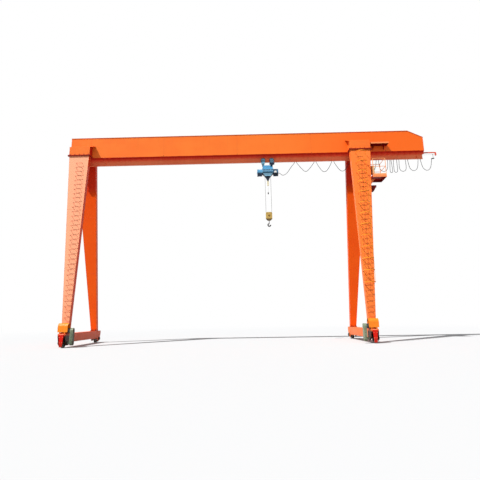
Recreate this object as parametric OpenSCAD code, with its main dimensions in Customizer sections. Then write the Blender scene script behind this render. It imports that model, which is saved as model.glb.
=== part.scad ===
// Gantry crane: one box girder on two A-shaped leg pairs that roll on rails,
// with a rope hoist under the girder and a cantilever at the right end.
// X runs along the girder, Y along the rails and Z up.
// The wheel flanges stand on z = 0, and x = 0 is the middle of the crane's full length.

/* [Overall] */
// Distance between the two rails
span = 18000; // [16500:100:19500]
// Distance between the two wheels of one side
wheel_base = 5600; // [5300:50:6200]
// Height of the hoist track's underside
track_underside = 12060; // [11500:20:12600]
// Girder beyond the left rail
left_overhang = 1420; // [1400:10:1700]
// Girder beyond the right rail
right_overhang = 5120; // [4600:20:5600]
// Thickness of ordinary steel plate
plate_t = 12; // [8:1:20]

/* [Girder] */
// Width over the two webs
girder_width = 700; // [640:10:760]
// Height of the webs with the top plate
girder_depth = 1480; // [1300:20:1700]
// Length of the sloped nose at the right end
nose_length = 1030; // [600:10:1600]
// Height taken off by the sloped nose
nose_drop = 500; // [300:10:700]
// Overhang of the top plate beyond each web
top_lip = 30; // [10:5:60]
// Height of the inclined plates between webs and track
taper_height = 170; // [120:10:240]

/* [Hoist track] */
// Height of the track beam
track_height = 320; // [280:10:360]
// Width of the track beam's flanges
track_width = 150; // [130:2:170]
// Thickness of the track beam's flanges
track_flange_t = 18; // [14:1:24]
// Thickness of the track beam's web
track_web_t = 12; // [8:1:16]
// Distance from the right rail to the trolley stop
right_stop = 4680; // [4300:20:4800]
// Distance from the left rail to the trolley stop, inwards
left_stop = 1000; // [900:20:1600]

/* [Legs] */
// Width of a leg at its foot, along the girder
foot_width = 375; // [320:5:420]
// Width of a leg at its top, along the girder
top_width = 1350; // [1100:10:1420]
// Thickness of a leg, along the rails
leg_thickness = 346; // [300:2:400]
// Distance from the rail's line to the leg's inner edge at the foot
foot_inset = 180; // [150:5:210]
// Distance from the rail's line to the leg's inner edge at the top
top_inset = 60; // [30:5:180]
// Distance from the girder's middle to the leg's outer face at the top
top_reach = 845; // [780:5:900]
// Distance from the wheel's axle to the leg's outer face at the foot
foot_setback = 160; // [130:5:260]
// Height of a saddle bracket's foot above the web's lower edge
saddle_lift = 50; // [-80:10:120]
// Depth of a saddle bracket's front plate
bracket_front = 605; // [480:5:680]
// Height of a saddle bracket against the web
bracket_back = 820; // [720:10:960]
// Overhang of a saddle bracket's lid on its inner side
lid_lip = 190; // [30:10:220]
// Thickness of the bolted flanges
flange_t = 25; // [16:1:32]
// Overhang of the bolted flanges
flange_lip = 80; // [50:5:95]

/* [Ground beams] */
// Width of a ground beam
beam_width = 440; // [400:10:480]
// Height of a ground beam
beam_height = 500; // [440:10:560]
// Height of a ground beam's top
beam_top = 800; // [760:10:860]
// Ground beam beyond the wheel's axle
beam_end = 300; // [290:5:360]
// Radius of the wheel's running tread
wheel_r = 250; // [220:5:265]
// Width of the wheel's tread between its flanges
tread_width = 80; // [60:2:100]
// Height of the wheel's flanges over the tread
wheel_flange = 25; // [15:1:30]
// Radius of the wheel's axle
axle_r = 35; // [28:1:45]
// Radius of a bearing housing
housing_r = 95; // [80:1:110]
// Length of a bearing housing
housing_length = 60; // [40:2:90]
// Width of an end guard at its top
guard_top = 280; // [220:10:320]
// Width of an end guard at its bottom
guard_bottom = 160; // [120:10:200]
// Depth of an end guard
guard_depth = 60; // [40:5:90]

/* [Travel drive] */
// Thickness of a travel gearbox
gearbox_t = 170; // [130:5:200]
// Length of the gearbox's neck round the axle
drive_neck = 135; // [100:5:160]
// Radius of a travel gearbox's round ends
gearbox_r = 150; // [120:5:155]
// Height of a travel motor's shaft
motor_z = 965; // [940:5:1000]
// Radius of a travel motor
motor_r = 115; // [90:5:120]
// Length of a travel motor
motor_length = 520; // [420:10:560]
// Length of a motor hood
hood_length = 580; // [500:10:660]
// Half width of a motor hood
hood_r = 200; // [195:5:210]
// Height of a motor hood's skirt above the beam
hood_skirt = 80; // [40:5:110]
// Height of a motor hood's straight sides
hood_side = 310; // [240:10:340]
// Thickness of the hood's sheet
sheet_t = 4; // [3:1:6]

/* [Hoist] */
// Place of the hoist, from the middle of the span
hoist_x = 3330; // [2800:10:3800]
// Distance between the trolley's two plate pairs
trolley_pitch = 600; // [540:10:680]
// Radius of the trolley wheels
trolley_wheel_r = 60; // [50:1:70]
// Height of the hoist's drum below the track's underside
hoist_drop = 765; // [720:5:820]
// Length of the drum housing
housing_x = 770; // [700:10:840]
// Radius of the rope drum
drum_r = 150; // [120:5:160]
// Radius of the hoist's end casings
casing_r = 255; // [220:5:270]
// Length of each end casing
casing_length = 325; // [260:5:380]
// Radius of the hoist's rope
rope_r = 10; // [7:0.5:12]
// Half distance between the two falls of rope
fall_offset = 195; // [170:5:200]
// Height of the block's sheave axle below the track's underside
sheave_drop = 3800; // [3500:10:4400]
// Width of the hook block's cheeks
block_width = 430; // [420:5:480]
// Height of the hook block's cheeks
block_height = 590; // [570:10:660]

/* [Access] */
// Distance between two rungs
rung_pitch = 320; // [280:10:330]
// Rungs on each near leg
rung_count = 33; // [28:1:33]
// Widest rung
rung_width = 380; // [300:10:500]
// Radius of a rung's bar
rung_r = 11; // [8:0.5:14]
// How far a rung stands off the leg
rung_standoff = 150; // [120:5:180]
// Distance between two hoops of the safety cage
hoop_pitch = 730; // [600:10:760]
// Number of hoops in the safety cage
hoop_count = 13; // [9:1:13]
// Radius of the safety cage
cage_r = 320; // [290:5:360]
// Straight part of a hoop before its round part
cage_side = 300; // [250:10:400]
// Width of the platform, along the girder
platform_width = 900; // [700:10:1100]
// Length of the platform, along the rails
platform_length = 1250; // [1100:10:1260]
// Height of the platform's floor below the track's underside
platform_drop = 1580; // [1460:20:1760]
// Thickness of the platform's floor frame
platform_t = 160; // [100:10:200]
// Height of the platform's railing
railing_height = 1140; // [1000:10:1200]
// Radius of the railing's tubes
railing_r = 20; // [15:1:26]
// Length of the landing beside the right saddle bracket
landing_length = 1270; // [900:10:1600]
// Depth of the landing's edge
landing_edge = 110; // [60:5:160]
// Height of the landing below the bracket's front edge
landing_drop = 150; // [60:10:240]

/* [Power supply] */
// Radius of the festoon cable
cable_r = 16; // [12:1:20]
// Height of the festoon wire below the webs
wire_drop = 90; // [60:5:110]
// Distance of the festoon wire from the girder's middle
wire_y = 300; // [290:2:310]
// Distance of the festoon cable from the girder's middle
cable_y = 420; // [410:2:430]
// Length of cable between two carriers
loop_length = 1990; // [1900:10:2200]
// Length of the arm beyond the girder's right end
arm_length = 1080; // [1000:10:1300]

/* [Hidden] */

// Fineness of round shapes
$fn = 64;
// Running clearance of an axle in its bore
run_gap = 0.06;
// Gap between surfaces that only lie near each other
near_gap = 0.3;
// Least gap between parts that move past each other
pass_gap = 5;

// Rails and wheels
rail_x = span / 2;
wheel_y = wheel_base / 2;
wheel_z = wheel_r + wheel_flange;
beam_bottom = beam_top - beam_height;
beam_y = wheel_y + beam_end;
overall_right = rail_x + right_overhang + arm_length;
overall_left = rail_x + left_overhang;
mid_x = (overall_right - overall_left) / 2;

// Girder levels and ends
track_top = track_underside + track_height;
web_bottom = track_top + taper_height;
girder_top = web_bottom + girder_depth;
half_width = girder_width / 2;
left_end = -overall_left;
right_end = rail_x + right_overhang;
nose_x = right_end - nose_length;

// Saddle brackets and legs
saddle_z = web_bottom + saddle_lift;
leg_top = saddle_z - 2 * flange_t;
leg_bottom = beam_top + flange_t;
foot_reach = wheel_y - foot_setback;
leg_lean = (foot_reach - top_reach) / (leg_top - leg_bottom);
leg_wall = 8;
bracket_in = rail_x - top_inset - 30;
bracket_out = rail_x - top_inset + top_width + 20;
bracket_y = top_reach + 10;
lid_end = 50;

// Hoist levels
track_floor = track_underside + track_flange_t;
trolley_axle_z = track_floor + trolley_wheel_r + near_gap;
drum_z = track_underside - hoist_drop;
hanger_z = track_underside - 95;
housing_top = track_underside - 265;
housing_ridge = drum_z + 150;
housing_floor = drum_z - 285;
sheave_z = track_underside - sheave_drop;
guide_half = 180;
guide_z = housing_floor - 310;
guide_block_h = 330;
trolley_y = track_width / 2 + 25;
wheel_pin_r = 20;
hanger_r = 20;
plate_x = trolley_pitch / 2;
cheek_top = sheave_z + fall_offset + 35;
cheek_bottom = cheek_top - block_height;
shank_r = 22;

// Festoon: places of the carriers from the middle of the span, chosen from the photograph
carrier_x = [5340, 6720, 7960, 9240, 10150, 11090, 11890, 12130, 12520, 13130, 14020, 14960];
wire_z = web_bottom - wire_drop;
clamp_z = track_underside + 130;
clamp_half = 100;
exit_side = clamp_half - cable_r - 4;
exit_drop = 60;

// Moves the crane so that x = 0 is the middle of its full length
module framed() { translate([-mid_x, 0, 0]) children(); }

// Box between two corners
module block(x, y, z) {
    translate([x[0], y[0], z[0]]) cube([x[1] - x[0], y[1] - y[0], z[1] - z[0]]);
}

// Outline in Y and Z, pushed along X
module along_x(x, outline) {
    translate([x[0], 0, 0]) rotate([90, 0, 90]) linear_extrude(x[1] - x[0]) polygon(outline);
}

// Outline in X and Z, pushed along Y
module along_y(y, outline) {
    translate([0, y[1], 0]) rotate([90, 0, 0]) linear_extrude(y[1] - y[0]) polygon(outline);
}

// Round bar along X between two places
module bar_x(x, y, z, r) { translate([x[0], y, z]) rotate([0, 90, 0]) cylinder(h = x[1] - x[0], r = r); }

// Round bar along Y between two places
module bar_y(x, y, z, r) { translate([x, y[1], z]) rotate([90, 0, 0]) cylinder(h = y[1] - y[0], r = r); }

// Round bar between two points
module rod(a, b, r) {
    v = b - a;
    translate(a) rotate([0, acos(v[2] / norm(v)), atan2(v[1], v[0])]) cylinder(h = norm(v), r = r);
}

// Copy for the left side, which mirrors the right one
module side(s) { mirror([s < 0 ? 1 : 0, 0, 0]) children(); }

// Copy for the near end, which mirrors the far one
module end_of(e) { mirror([0, e < 0 ? 1 : 0, 0]) children(); }

// Girder

module top_plate() {
    t = plate_t;
    color("orangered") framed() along_y([-half_width - top_lip, half_width + top_lip],
        [[left_end, girder_top - t], [nose_x, girder_top - t], [right_end, girder_top - nose_drop - t],
        [right_end, girder_top - nose_drop], [nose_x, girder_top], [left_end, girder_top]]);
}

module girder_webs() {
    t = plate_t;
    color("orangered") framed() for (e = [-1, 1]) end_of(e) along_y([half_width - t, half_width],
        [[left_end, web_bottom], [right_end, web_bottom], [right_end, girder_top - nose_drop - t],
        [nose_x, girder_top - t], [left_end, girder_top - t]]);
}

module end_plates() {
    inner = half_width - plate_t;
    color("orangered") framed() {
        block([left_end, left_end + plate_t], [-inner, inner], [web_bottom, girder_top - plate_t]);
        block([right_end - plate_t, right_end], [-inner, inner],
            [web_bottom, girder_top - nose_drop - plate_t]);
    }
}

// One inclined plate from a web's lower edge to the track's upper flange
module taper_plates() {
    seat = track_width / 2;
    color("firebrick") framed() for (e = [-1, 1]) end_of(e)
        along_x([left_end, right_end], [[half_width, web_bottom], [seat, track_top], [seat - 20, track_top],
            [seat - 20, track_top + plate_t], [half_width - plate_t - 10, web_bottom]]);
}

// Rolled beam under the girder, with stops on both sides of its web at each end of the trolley's travel
module track_beam() {
    w = track_width / 2;
    t = track_flange_t;
    stop_height = 190;
    stop_length = 40;
    color("indianred") framed() {
        difference() {
            block([left_end, right_end - 30], [-w, w], [track_underside, track_top]);
            for (e = [-1, 1]) end_of(e) block([left_end - 1, right_end], [track_web_t / 2, w + 1],
                [track_floor, track_top - t]);
        }
        for (x = [rail_x + right_stop, left_stop - rail_x - stop_length])
            block([x, x + stop_length], [-trolley_y - 10, trolley_y + 10], [track_floor, track_floor + stop_height]);
    }
}

// Saddle brackets: hollow boxes of plates with a sloped lid and a bolted flange
module saddle_brackets() {
    t = plate_t;
    front_top = saddle_z + bracket_front;
    back_top = saddle_z + bracket_back;
    y0 = half_width;
    y1 = bracket_y;
    color("orangered") framed() for (s = [-1, 1], e = [-1, 1]) side(s) end_of(e) {
        difference() {
            along_x([bracket_in, bracket_out], [[y0, saddle_z], [y1, saddle_z], [y1, front_top], [y0, back_top]]);
            for (i = [0:2]) {
                room = (bracket_out - bracket_in - 4 * t) / 3;
                along_x([bracket_in + t + i * (room + t), bracket_in + (i + 1) * (room + t)],
                    [[y0 + t, saddle_z - 1], [y1 - t, saddle_z - 1], [y1 - t, front_top - t],
                    [y0 + t, back_top - t - 10]]);
            }
        }
        along_x([bracket_in - lid_lip, bracket_out + lid_end],
            [[y0, back_top - t], [y1, front_top - t], [y1, front_top], [y0, back_top]]);
        block([bracket_in - flange_lip + 30, bracket_out + flange_lip], [y0, y1 + flange_lip],
            [saddle_z - flange_t, saddle_z]);
    }
}

// Legs

// Distance of a leg's outer face from the girder's middle, at height z
function leg_face(z) = foot_reach - leg_lean * (z - leg_bottom);

// Share of the leg's height at height z
function leg_share(z) = (z - leg_bottom) / (leg_top - leg_bottom);

// Inner and outer edges of a leg along the girder, at height z
function leg_in(z) = rail_x - foot_inset + (foot_inset - top_inset) * leg_share(z);
function leg_out(z) = leg_in(z) + foot_width + (top_width - foot_width) * leg_share(z);
function leg_mid(z) = (leg_in(z) + leg_out(z)) / 2;

// Tapered leg outline seen along Y, inset by a wall
function leg_front(w, z0, z1) = [[leg_in(z0) + w, z0], [leg_out(z0) - w, z0], [leg_out(z1) - w, z1],
    [leg_in(z1) + w, z1]];

// Leaning leg outline seen along X, inset by a wall
function leg_side(w, z0, z1) = [[leg_face(z0) - leg_thickness + w, z0], [leg_face(z0) - w, z0],
    [leg_face(z1) - w, z1], [leg_face(z1) - leg_thickness + w, z1]];

module leg_body(w, z0, z1) {
    intersection() {
        along_x([leg_in(z0) - 200, leg_out(z1) + 200], leg_side(w, z0, z1));
        along_y([0, foot_reach + 200], leg_front(w, z0, z1));
    }
}

// Pair of hollow plate legs, open at both ends under their flanges
module leg_pair(e) {
    framed() for (s = [-1, 1]) side(s) end_of(e) difference() {
        leg_body(0, leg_bottom, leg_top);
        leg_body(leg_wall, leg_bottom - 1, leg_top + 1);
    }
}

module near_legs() { color("coral") leg_pair(-1); }

module far_legs() { color("coral") leg_pair(1); }

// Top flanges, bolted under the brackets, and foot plates with gussets on the ground beams
module leg_flanges() {
    gusset = 120;
    color("coral") framed() for (s = [-1, 1], e = [-1, 1]) side(s) end_of(e) {
        block([bracket_in - flange_lip + 30, bracket_out + flange_lip], [half_width + 20, bracket_y + flange_lip],
            [leg_top, leg_top + flange_t]);
        block([leg_in(leg_bottom) - 20, leg_out(leg_bottom) + 20],
            [foot_reach - leg_thickness - gusset - 20, foot_reach], [beam_top, leg_bottom]);
        for (x = [leg_in(leg_bottom) + 60, leg_out(leg_bottom) - 60 - plate_t])
            along_x([x, x + plate_t], [[leg_face(leg_bottom) - leg_thickness - gusset, leg_bottom],
                [leg_face(leg_bottom) - leg_thickness, leg_bottom],
                [leg_face(leg_bottom + gusset) - leg_thickness, leg_bottom + gusset]]);
    }
}

// Ground beams, wheels and drives

// Half of a ground beam's side outline, from its middle to its end
beam_outline = [[0, beam_bottom], [wheel_y - 330, beam_bottom], [wheel_y - 290, wheel_z - 145],
    [wheel_y + 120, wheel_z - 145], [beam_y, beam_top - 180], [beam_y, beam_top], [0, beam_top]];

module ground_beams() {
    w = beam_width / 2;
    t = plate_t;
    color("coral") framed() for (s = [-1, 1]) translate([s * rail_x, 0, 0]) difference() {
        for (e = [-1, 1]) end_of(e) along_x([-w, w], beam_outline);
        block([-w + t, w - t], [-wheel_y + 330, wheel_y - 330], [beam_bottom + t, beam_top - t]);
        for (e = [-1, 1]) end_of(e) {
            block([-w + t, w - t], [wheel_y - 330 + t, beam_y - t], [0, beam_top - t]);
            bar_x([-w - 1, w + 1], wheel_y, wheel_z, axle_r + 25);
        }
    }
}

// Double-flanged wheel in one piece with its axle, which turns in the housings
module wheel(s, e) {
    half = tread_width / 2;
    rim = wheel_r - 40;
    hub = axle_r + 30;
    reach = beam_width / 2 + housing_length;
    drive_end = e < 0 ? -reach - drive_neck - gearbox_t + 60 : -reach + 10;
    color("dimgray") framed() side(s) translate([rail_x, e * wheel_y, wheel_z]) rotate([0, 90, 0]) {
        rotate_extrude() polygon([[0, -90], [hub, -90], [hub, -15], [rim, -15], [rim, -half - 25],
            [wheel_z, -half - 25], [wheel_z, -half], [wheel_r, -half], [wheel_r, half], [wheel_z, half],
            [wheel_z, half + 25], [rim, half + 25], [rim, 15], [hub, 15], [hub, 90], [0, 90]]);
        translate([0, 0, drive_end]) cylinder(h = reach - 10 - drive_end, r = axle_r);
    }
}

module wheel_near_left() { wheel(-1, -1); }

module wheel_near_right() { wheel(1, -1); }

module wheel_far_left() { wheel(-1, 1); }

module wheel_far_right() { wheel(1, 1); }

// Bearing housings on both sides of each wheel box; only a driven axle leaves its inner one
module axle_housings() {
    w = beam_width / 2;
    color("dimgray") framed() for (s = [-1, 1], e = [-1, 1]) side(s) {
        difference() {
            bar_x([rail_x + w, rail_x + w + housing_length], e * wheel_y, wheel_z, housing_r);
            bar_x([rail_x + w - 1, rail_x + w + housing_length - 8], e * wheel_y, wheel_z, axle_r + run_gap);
        }
        difference() {
            bar_x([rail_x - w - housing_length, rail_x - w], e * wheel_y, wheel_z, housing_r);
            bar_x([rail_x - w - housing_length + (e < 0 ? -1 : 8), rail_x - w + 1], e * wheel_y, wheel_z,
                axle_r + run_gap);
        }
    }
}

// Tapered guards that hang from the ends of the ground beams in front of the wheels
module end_guards() {
    top = beam_top - 60;
    bottom = wheel_flange + 25;
    t = 8;
    color("crimson") framed() for (s = [-1, 1], e = [-1, 1]) side(s) end_of(e) difference() {
        along_y([beam_y, beam_y + guard_depth], [[rail_x - guard_bottom / 2, bottom],
            [rail_x + guard_bottom / 2, bottom], [rail_x + guard_top / 2, top], [rail_x - guard_top / 2, top]]);
        along_y([beam_y - 1, beam_y + guard_depth - t], [[rail_x - guard_bottom / 2 + t, bottom - 1],
            [rail_x + guard_bottom / 2 - t, bottom - 1], [rail_x + guard_top / 2 - t, top - t],
            [rail_x - guard_top / 2 + t, top - t]]);
    }
}

// Upright gearbox on the inner side of each near wheel, with a neck to the bearing housing
drive_x = rail_x - beam_width / 2 - housing_length - drive_neck;

module travel_gearboxes() {
    x1 = drive_x;
    x0 = x1 - gearbox_t;
    color("darkseagreen") framed() for (s = [-1, 1]) side(s) difference() {
        union() {
            bar_x([x1 - 1, x1 + drive_neck], -wheel_y, wheel_z, axle_r + 30);
            bar_x([x0, x1], -wheel_y, wheel_z, gearbox_r);
            bar_x([x0, x1], -wheel_y, motor_z, gearbox_r);
            block([x0, x1], [-wheel_y - gearbox_r, -wheel_y + gearbox_r], [wheel_z, motor_z]);
        }
        bar_x([x0 + 40, x1 + drive_neck + 1], -wheel_y, wheel_z, axle_r + run_gap);
    }
}

module travel_motors() {
    x0 = drive_x;
    color("slategray") framed() for (s = [-1, 1]) side(s) {
        bar_x([x0, x0 + 40], -wheel_y, motor_z, motor_r + 20);
        bar_x([x0 + 40, x0 + motor_length], -wheel_y, motor_z, motor_r);
    }
}

// Half-barrel hood over each travel motor, on four feet
module motor_hoods() {
    x0 = rail_x - beam_width / 2 - 85;
    y = -wheel_y - 40;
    low = beam_top + hood_skirt;
    round_z = low + hood_side;
    color("orange") framed() for (s = [-1, 1]) side(s) {
        difference() {
            union() {
                bar_x([x0, x0 + hood_length], y, round_z, hood_r);
                block([x0, x0 + hood_length], [y - hood_r, y + hood_r], [low, round_z]);
            }
            bar_x([x0 - 1, x0 + hood_length + 1], y, round_z, hood_r - sheet_t);
            block([x0 - 1, x0 + hood_length + 1], [y - hood_r + sheet_t, y + hood_r - sheet_t],
                [low - 1, round_z]);
        }
        for (foot_y = [y - hood_r, y + hood_r - sheet_t], foot_x = [rail_x - 180, rail_x + 120])
            block([foot_x, foot_x + 60], [foot_y, foot_y + sheet_t], [beam_top, low]);
    }
}

// Climbing rungs, cage and platform

// Height of the lowest rung
first_rung_z = 1700;
// How far the rungs lie inwards from the leg's middle
ladder_shift = 70;
// Height of the platform's floor
platform_z = track_underside - platform_drop;

// Width of the rung at height z, which a narrow leg limits
function rung_span(z) = min(rung_width, leg_out(z) - leg_in(z) - 2 * ladder_shift - 30);

// Staple rungs welded to the outer face of both near legs
module leg_rungs() {
    color("peru") framed() for (s = [-1, 1]) side(s) for (i = [0:rung_count - 1]) {
        z = first_rung_z + i * rung_pitch;
        y = -leg_face(z - rung_r);
        half = rung_span(z) / 2;
        x = leg_mid(z) - ladder_shift;
        bar_x([x - half - rung_r, x + half + rung_r], y - rung_standoff, z, rung_r, $fn = 8);
        for (k = [-1, 1]) bar_y(x + k * half, [y - rung_standoff, y - near_gap], z, rung_r, $fn = 8);
    }
}

// Flat hoop of the cage at height z, round towards the climber's back
module hoop(z) {
    t = 8;
    h = 50;
    y = leg_face(z - h / 2) + near_gap;
    translate([leg_mid(z) - ladder_shift / 2, -y, z]) {
        for (k = [-1, 1]) block([k * cage_r - (k > 0 ? t : 0), k * cage_r + (k > 0 ? 0 : t)],
            [-cage_side, 0], [-h / 2, h / 2]);
        translate([0, -cage_side, 0]) rotate([0, 0, 180]) rotate_extrude(angle = 180)
            translate([cage_r - t, -h / 2]) square([t, h]);
    }
}

// Point of a cage rod at height z, in the direction given by an angle
function cage_point(a, z) = [leg_mid(z) - ladder_shift / 2 + (cage_r - 12) * sin(a),
    -leg_face(z) - cage_side - (cage_r - 12) * cos(a), z];

// Safety cage on the near right leg
module ladder_cage() {
    low = leg_top - 300 - (hoop_count - 1) * hoop_pitch;
    high = leg_top - 300;
    color("sandybrown") framed() {
        for (i = [0:hoop_count - 1]) hoop(low + i * hoop_pitch);
        for (a = [-80, -40, 0, 40, 80]) rod(cage_point(a, low), cage_point(a, high), 8, $fn = 8);
    }
}

// Platform beside the near right leg
platform_x = leg_out(platform_z) + near_gap;
platform_mid = leg_face(platform_z) - leg_thickness / 2;

module platform() {
    x1 = platform_x + platform_width;
    y0 = -platform_mid - platform_length / 2;
    y1 = y0 + platform_length;
    z0 = platform_z - platform_t;
    color("coral") framed() {
        difference() {
            block([platform_x, x1], [y0, y1], [z0, platform_z]);
            block([platform_x + 8, x1 - 8], [y0 + 8, y1 - 8], [z0 - 1, platform_z - 6]);
        }
        for (y = [-platform_mid - 150, -platform_mid + 100]) along_y([y, y + plate_t],
            [[leg_out(z0 - 380) + near_gap, z0 - 380], [platform_x + 250, z0], [platform_x, z0]]);
        landing();
    }
}

// Narrow landing on the web beside the right bracket, on two brackets of plate
module landing() {
    x0 = bracket_out + lid_end + near_gap;
    x1 = bracket_out + landing_length;
    y0 = -half_width - near_gap;
    top = saddle_z + bracket_front - landing_drop;
    low = top - landing_edge;
    difference() {
        block([x0, x1], [-bracket_y, y0], [low, top]);
        block([x0 + 8, x1 - 8], [8 - bracket_y, y0 - 8], [low - 1, top - 8]);
    }
    for (x = [x0 + 250, x1 - 250]) along_x([x, x + plate_t],
        [[y0, low], [y0, low - 320], [80 - bracket_y, low]]);
}

// Railing round three sides of the platform
module platform_railing() {
    r = railing_r;
    rail = r - 3;
    x0 = platform_x + 60;
    x1 = platform_x + platform_width - r;
    y0 = -platform_mid - platform_length / 2 + r;
    y1 = y0 + platform_length - 2 * r;
    top = platform_z + railing_height - r;
    color("sandybrown") framed() {
        for (x = [x0, x1], y = [y0, y1]) translate([x, y, platform_z]) cylinder(h = top + r - platform_z, r = r);
        for (z = [top, platform_z + railing_height / 2]) {
            for (y = [y0, y1]) bar_x([x0 - 5, x1 + 5], y, z, rail);
            bar_y(x1, [y0 - 5, y1 + 5], z, rail);
        }
    }
}

// Box of switches on two mounting bars, which slope with the leg's edge
module electric_box() {
    low = platform_z + 220;
    high = low + 550;
    bar = 40;
    x = leg_out(high) + 25;
    color("burlywood") framed() {
        block([x, x + 190], [-platform_mid - 150, -platform_mid + 150], [low, high]);
        for (z = [low + 60, high - 60 - bar]) along_y([-platform_mid - 120, -platform_mid + 120],
            [[leg_out(z) + near_gap, z], [x + 1, z], [x + 1, z + bar], [leg_out(z + bar) + near_gap, z + bar]]);
    }
}

module signal_box() {
    z1 = platform_z - platform_t - 420;
    x = leg_out(z1) + near_gap;
    color("maroon") framed() along_y([-platform_mid - 130, -platform_mid + 130],
        [[leg_out(z1 - 400) + near_gap, z1 - 400], [x + 170, z1 - 400], [x + 370, z1 - 60], [x + 370, z1],
        [x, z1]]);
}

// Power supply

// Height of the inclined plates' underside at a distance y from the girder's middle
function taper_z(y) = web_bottom - (half_width - y) * taper_height / (half_width - track_width / 2);

// Arm at the right end that holds the wire, and the wire's bracket under the left end
module festoon_arm() {
    z = wire_z;
    y0 = wire_y - 30;
    y1 = wire_y + 30;
    side_y = half_width + 60;
    color("firebrick") framed() {
        block([right_end - 200, overall_right], [half_width + near_gap, side_y], [web_bottom + 60, web_bottom + 130]);
        block([overall_right - 60, overall_right], [y0, side_y], [z - 40, web_bottom + 60]);
        along_x([left_end, left_end + 60], [[y0, z - 40], [y1, z - 40], [y1, taper_z(y1) - near_gap],
            [y0, taper_z(y0) - near_gap]]);
    }
}

module festoon_wire() {
    color("gray") framed() bar_x([left_end + 60, overall_right - 60], wire_y, wire_z, 5);
}

// Carriers that slide on the wire and clamp the cable
module festoon_carriers() {
    color("dimgray") framed() for (x = carrier_x) {
        difference() {
            block([x - 25, x + 25], [wire_y - 20, wire_y + 20], [wire_z - 20, wire_z + 20]);
            bar_x([x - 26, x + 26], wire_y, wire_z, 5 + run_gap);
        }
        block([x - 10, x + 10], [wire_y - 4, wire_y + 4], [clamp_z, wire_z - 20]);
        block([x - clamp_half, x + clamp_half], [wire_y - 4, cable_y + cable_r + 6], [clamp_z, clamp_z + 30]);
    }
}

// Radius of a loop's round bottom between two cable exits that far apart
loop_bend = 260;
function loop_radius(width) = min(loop_bend, width / 2);

// Depth of a loop's leaning straights, from the cable's length
function lean_depth(width, length) = let (r = loop_radius(width), straight = (length - 2 * exit_drop - PI * r) / 2)
    sqrt(straight * straight - pow(width / 2 - r, 2));

// Path of one hanging loop: down out of the clamp, two leaning straights and a round bottom
function loop_path(x0, x1) = let (r = loop_radius(x1 - x0), xm = (x0 + x1) / 2, zr = clamp_z - exit_drop
    - lean_depth(x1 - x0, loop_length)) [[x0, cable_y, clamp_z], [x0, cable_y, clamp_z - exit_drop],
    for (q = [20, 90, 160]) [xm - r * cos(q), cable_y, zr - r * sin(q)],
    [x1, cable_y, clamp_z - exit_drop], [x1, cable_y, clamp_z]];

// Directions along a path, each the mean of the two stretches beside its point
function path_dir(p, i) = let (a = p[max(i - 1, 0)], b = p[min(i + 1, len(p) - 1)]) (b - a) / norm(b - a);

// Tube of eight sides round a path in a plane of constant y
module tube(path, r) {
    sides = 8;
    n = len(path);
    points = [for (i = [0:n - 1], k = [0:sides - 1])
        let (d = path_dir(path, i), u = [d[2], 0, -d[0]], q = 360 * k / sides)
        path[i] + r * (cos(q) * u + sin(q) * [0, 1, 0])];
    walls = [for (i = [0:n - 2], k = [0:sides - 1]) let (a = i * sides + k, b = i * sides + (k + 1) % sides)
        [a, a + sides, b + sides, b]];
    caps = [[for (k = [0:sides - 1]) k], [for (k = [sides - 1:-1:0]) (n - 1) * sides + k]];
    polyhedron(points, concat(walls, caps));
}

// Hanging festoon cable: the lead from the hoist, then one loop between each two carriers
lead_start = [hoist_x + housing_x / 2 + casing_length + 60, cable_y, drum_z + 100];
lead_end = [carrier_x[0] - exit_side, cable_y, clamp_z];
lead_path = [lead_start, lead_start + [70, 0, 0], lead_start + [320, 0, -160], lead_start + [600, 0, 0],
    lead_start + [930, 0, 450], lead_end - [0, 0, exit_drop], lead_end];

module festoon_cable() {
    last = len(carrier_x) - 1;
    color("dimgray") framed() {
        tube(lead_path, cable_r);
        for (i = [0:last - 1]) tube(loop_path(carrier_x[i] + exit_side, carrier_x[i + 1] - exit_side), cable_r);
    }
}

// Hoist

// Pear-shaped plates on both sides of the track, joined below it by the rods that carry the hoist
module trolley_plates() {
    t = plate_t;
    round_z = trolley_axle_z + 40;
    reach = trolley_y + t + 20;
    color("steelblue") framed() for (k = [-1, 1]) translate([hoist_x + k * plate_x, 0, 0]) {
        for (e = [-1, 1]) end_of(e) difference() {
            union() {
                bar_y(0, [trolley_y, trolley_y + t], round_z, 165);
                bar_y(0, [trolley_y, trolley_y + t], hanger_z, 95);
                along_y([trolley_y, trolley_y + t],
                    [[-95, hanger_z], [95, hanger_z], [150, round_z - 60], [-150, round_z - 60]]);
            }
            bar_y(0, [0, reach], trolley_axle_z, wheel_pin_r + run_gap);
        }
        bar_y(0, [-reach, reach], hanger_z, hanger_r);
    }
}

module trolley_wheel(e, k) {
    r = trolley_wheel_r;
    tread = track_width / 2 + pass_gap - 30;
    color("dimgray") framed() end_of(e) translate([hoist_x + k * plate_x, 30, trolley_axle_z]) rotate([-90, 0, 0]) {
        cylinder(h = tread, r = r);
        translate([0, 0, tread]) cylinder(h = 12, r = r + 10);
        translate([0, 0, tread]) cylinder(h = trolley_y + plate_t + 10 - 30 - tread, r = wheel_pin_r);
    }
}

module trolley_wheel_nl() { trolley_wheel(-1, -1); }

module trolley_wheel_nr() { trolley_wheel(-1, 1); }

module trolley_wheel_fl() { trolley_wheel(1, -1); }

module trolley_wheel_fr() { trolley_wheel(1, 1); }

// Trolley motor with its gear case, on the outside of the near right plate
module trolley_motor() {
    x = hoist_x + plate_x;
    y = trolley_y + plate_t;
    color("darkslategray") framed() {
        block([x - 80, x + 80], [-y - 110, -y], [hanger_z - 110, hanger_z - 30]);
        bar_x([x - 170, x + 170], -y - 110, hanger_z - 70, 85);
    }
}

// Housing of the rope drum: six-sided shell with end plates and hanger lugs
function housing_outline(w) = [[-150 + w, housing_top - w], [150 - w, housing_top - w], [300 - w, housing_ridge],
    [190 - w, housing_floor + w], [-190 + w, housing_floor + w], [-300 + w, housing_ridge]];

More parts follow.
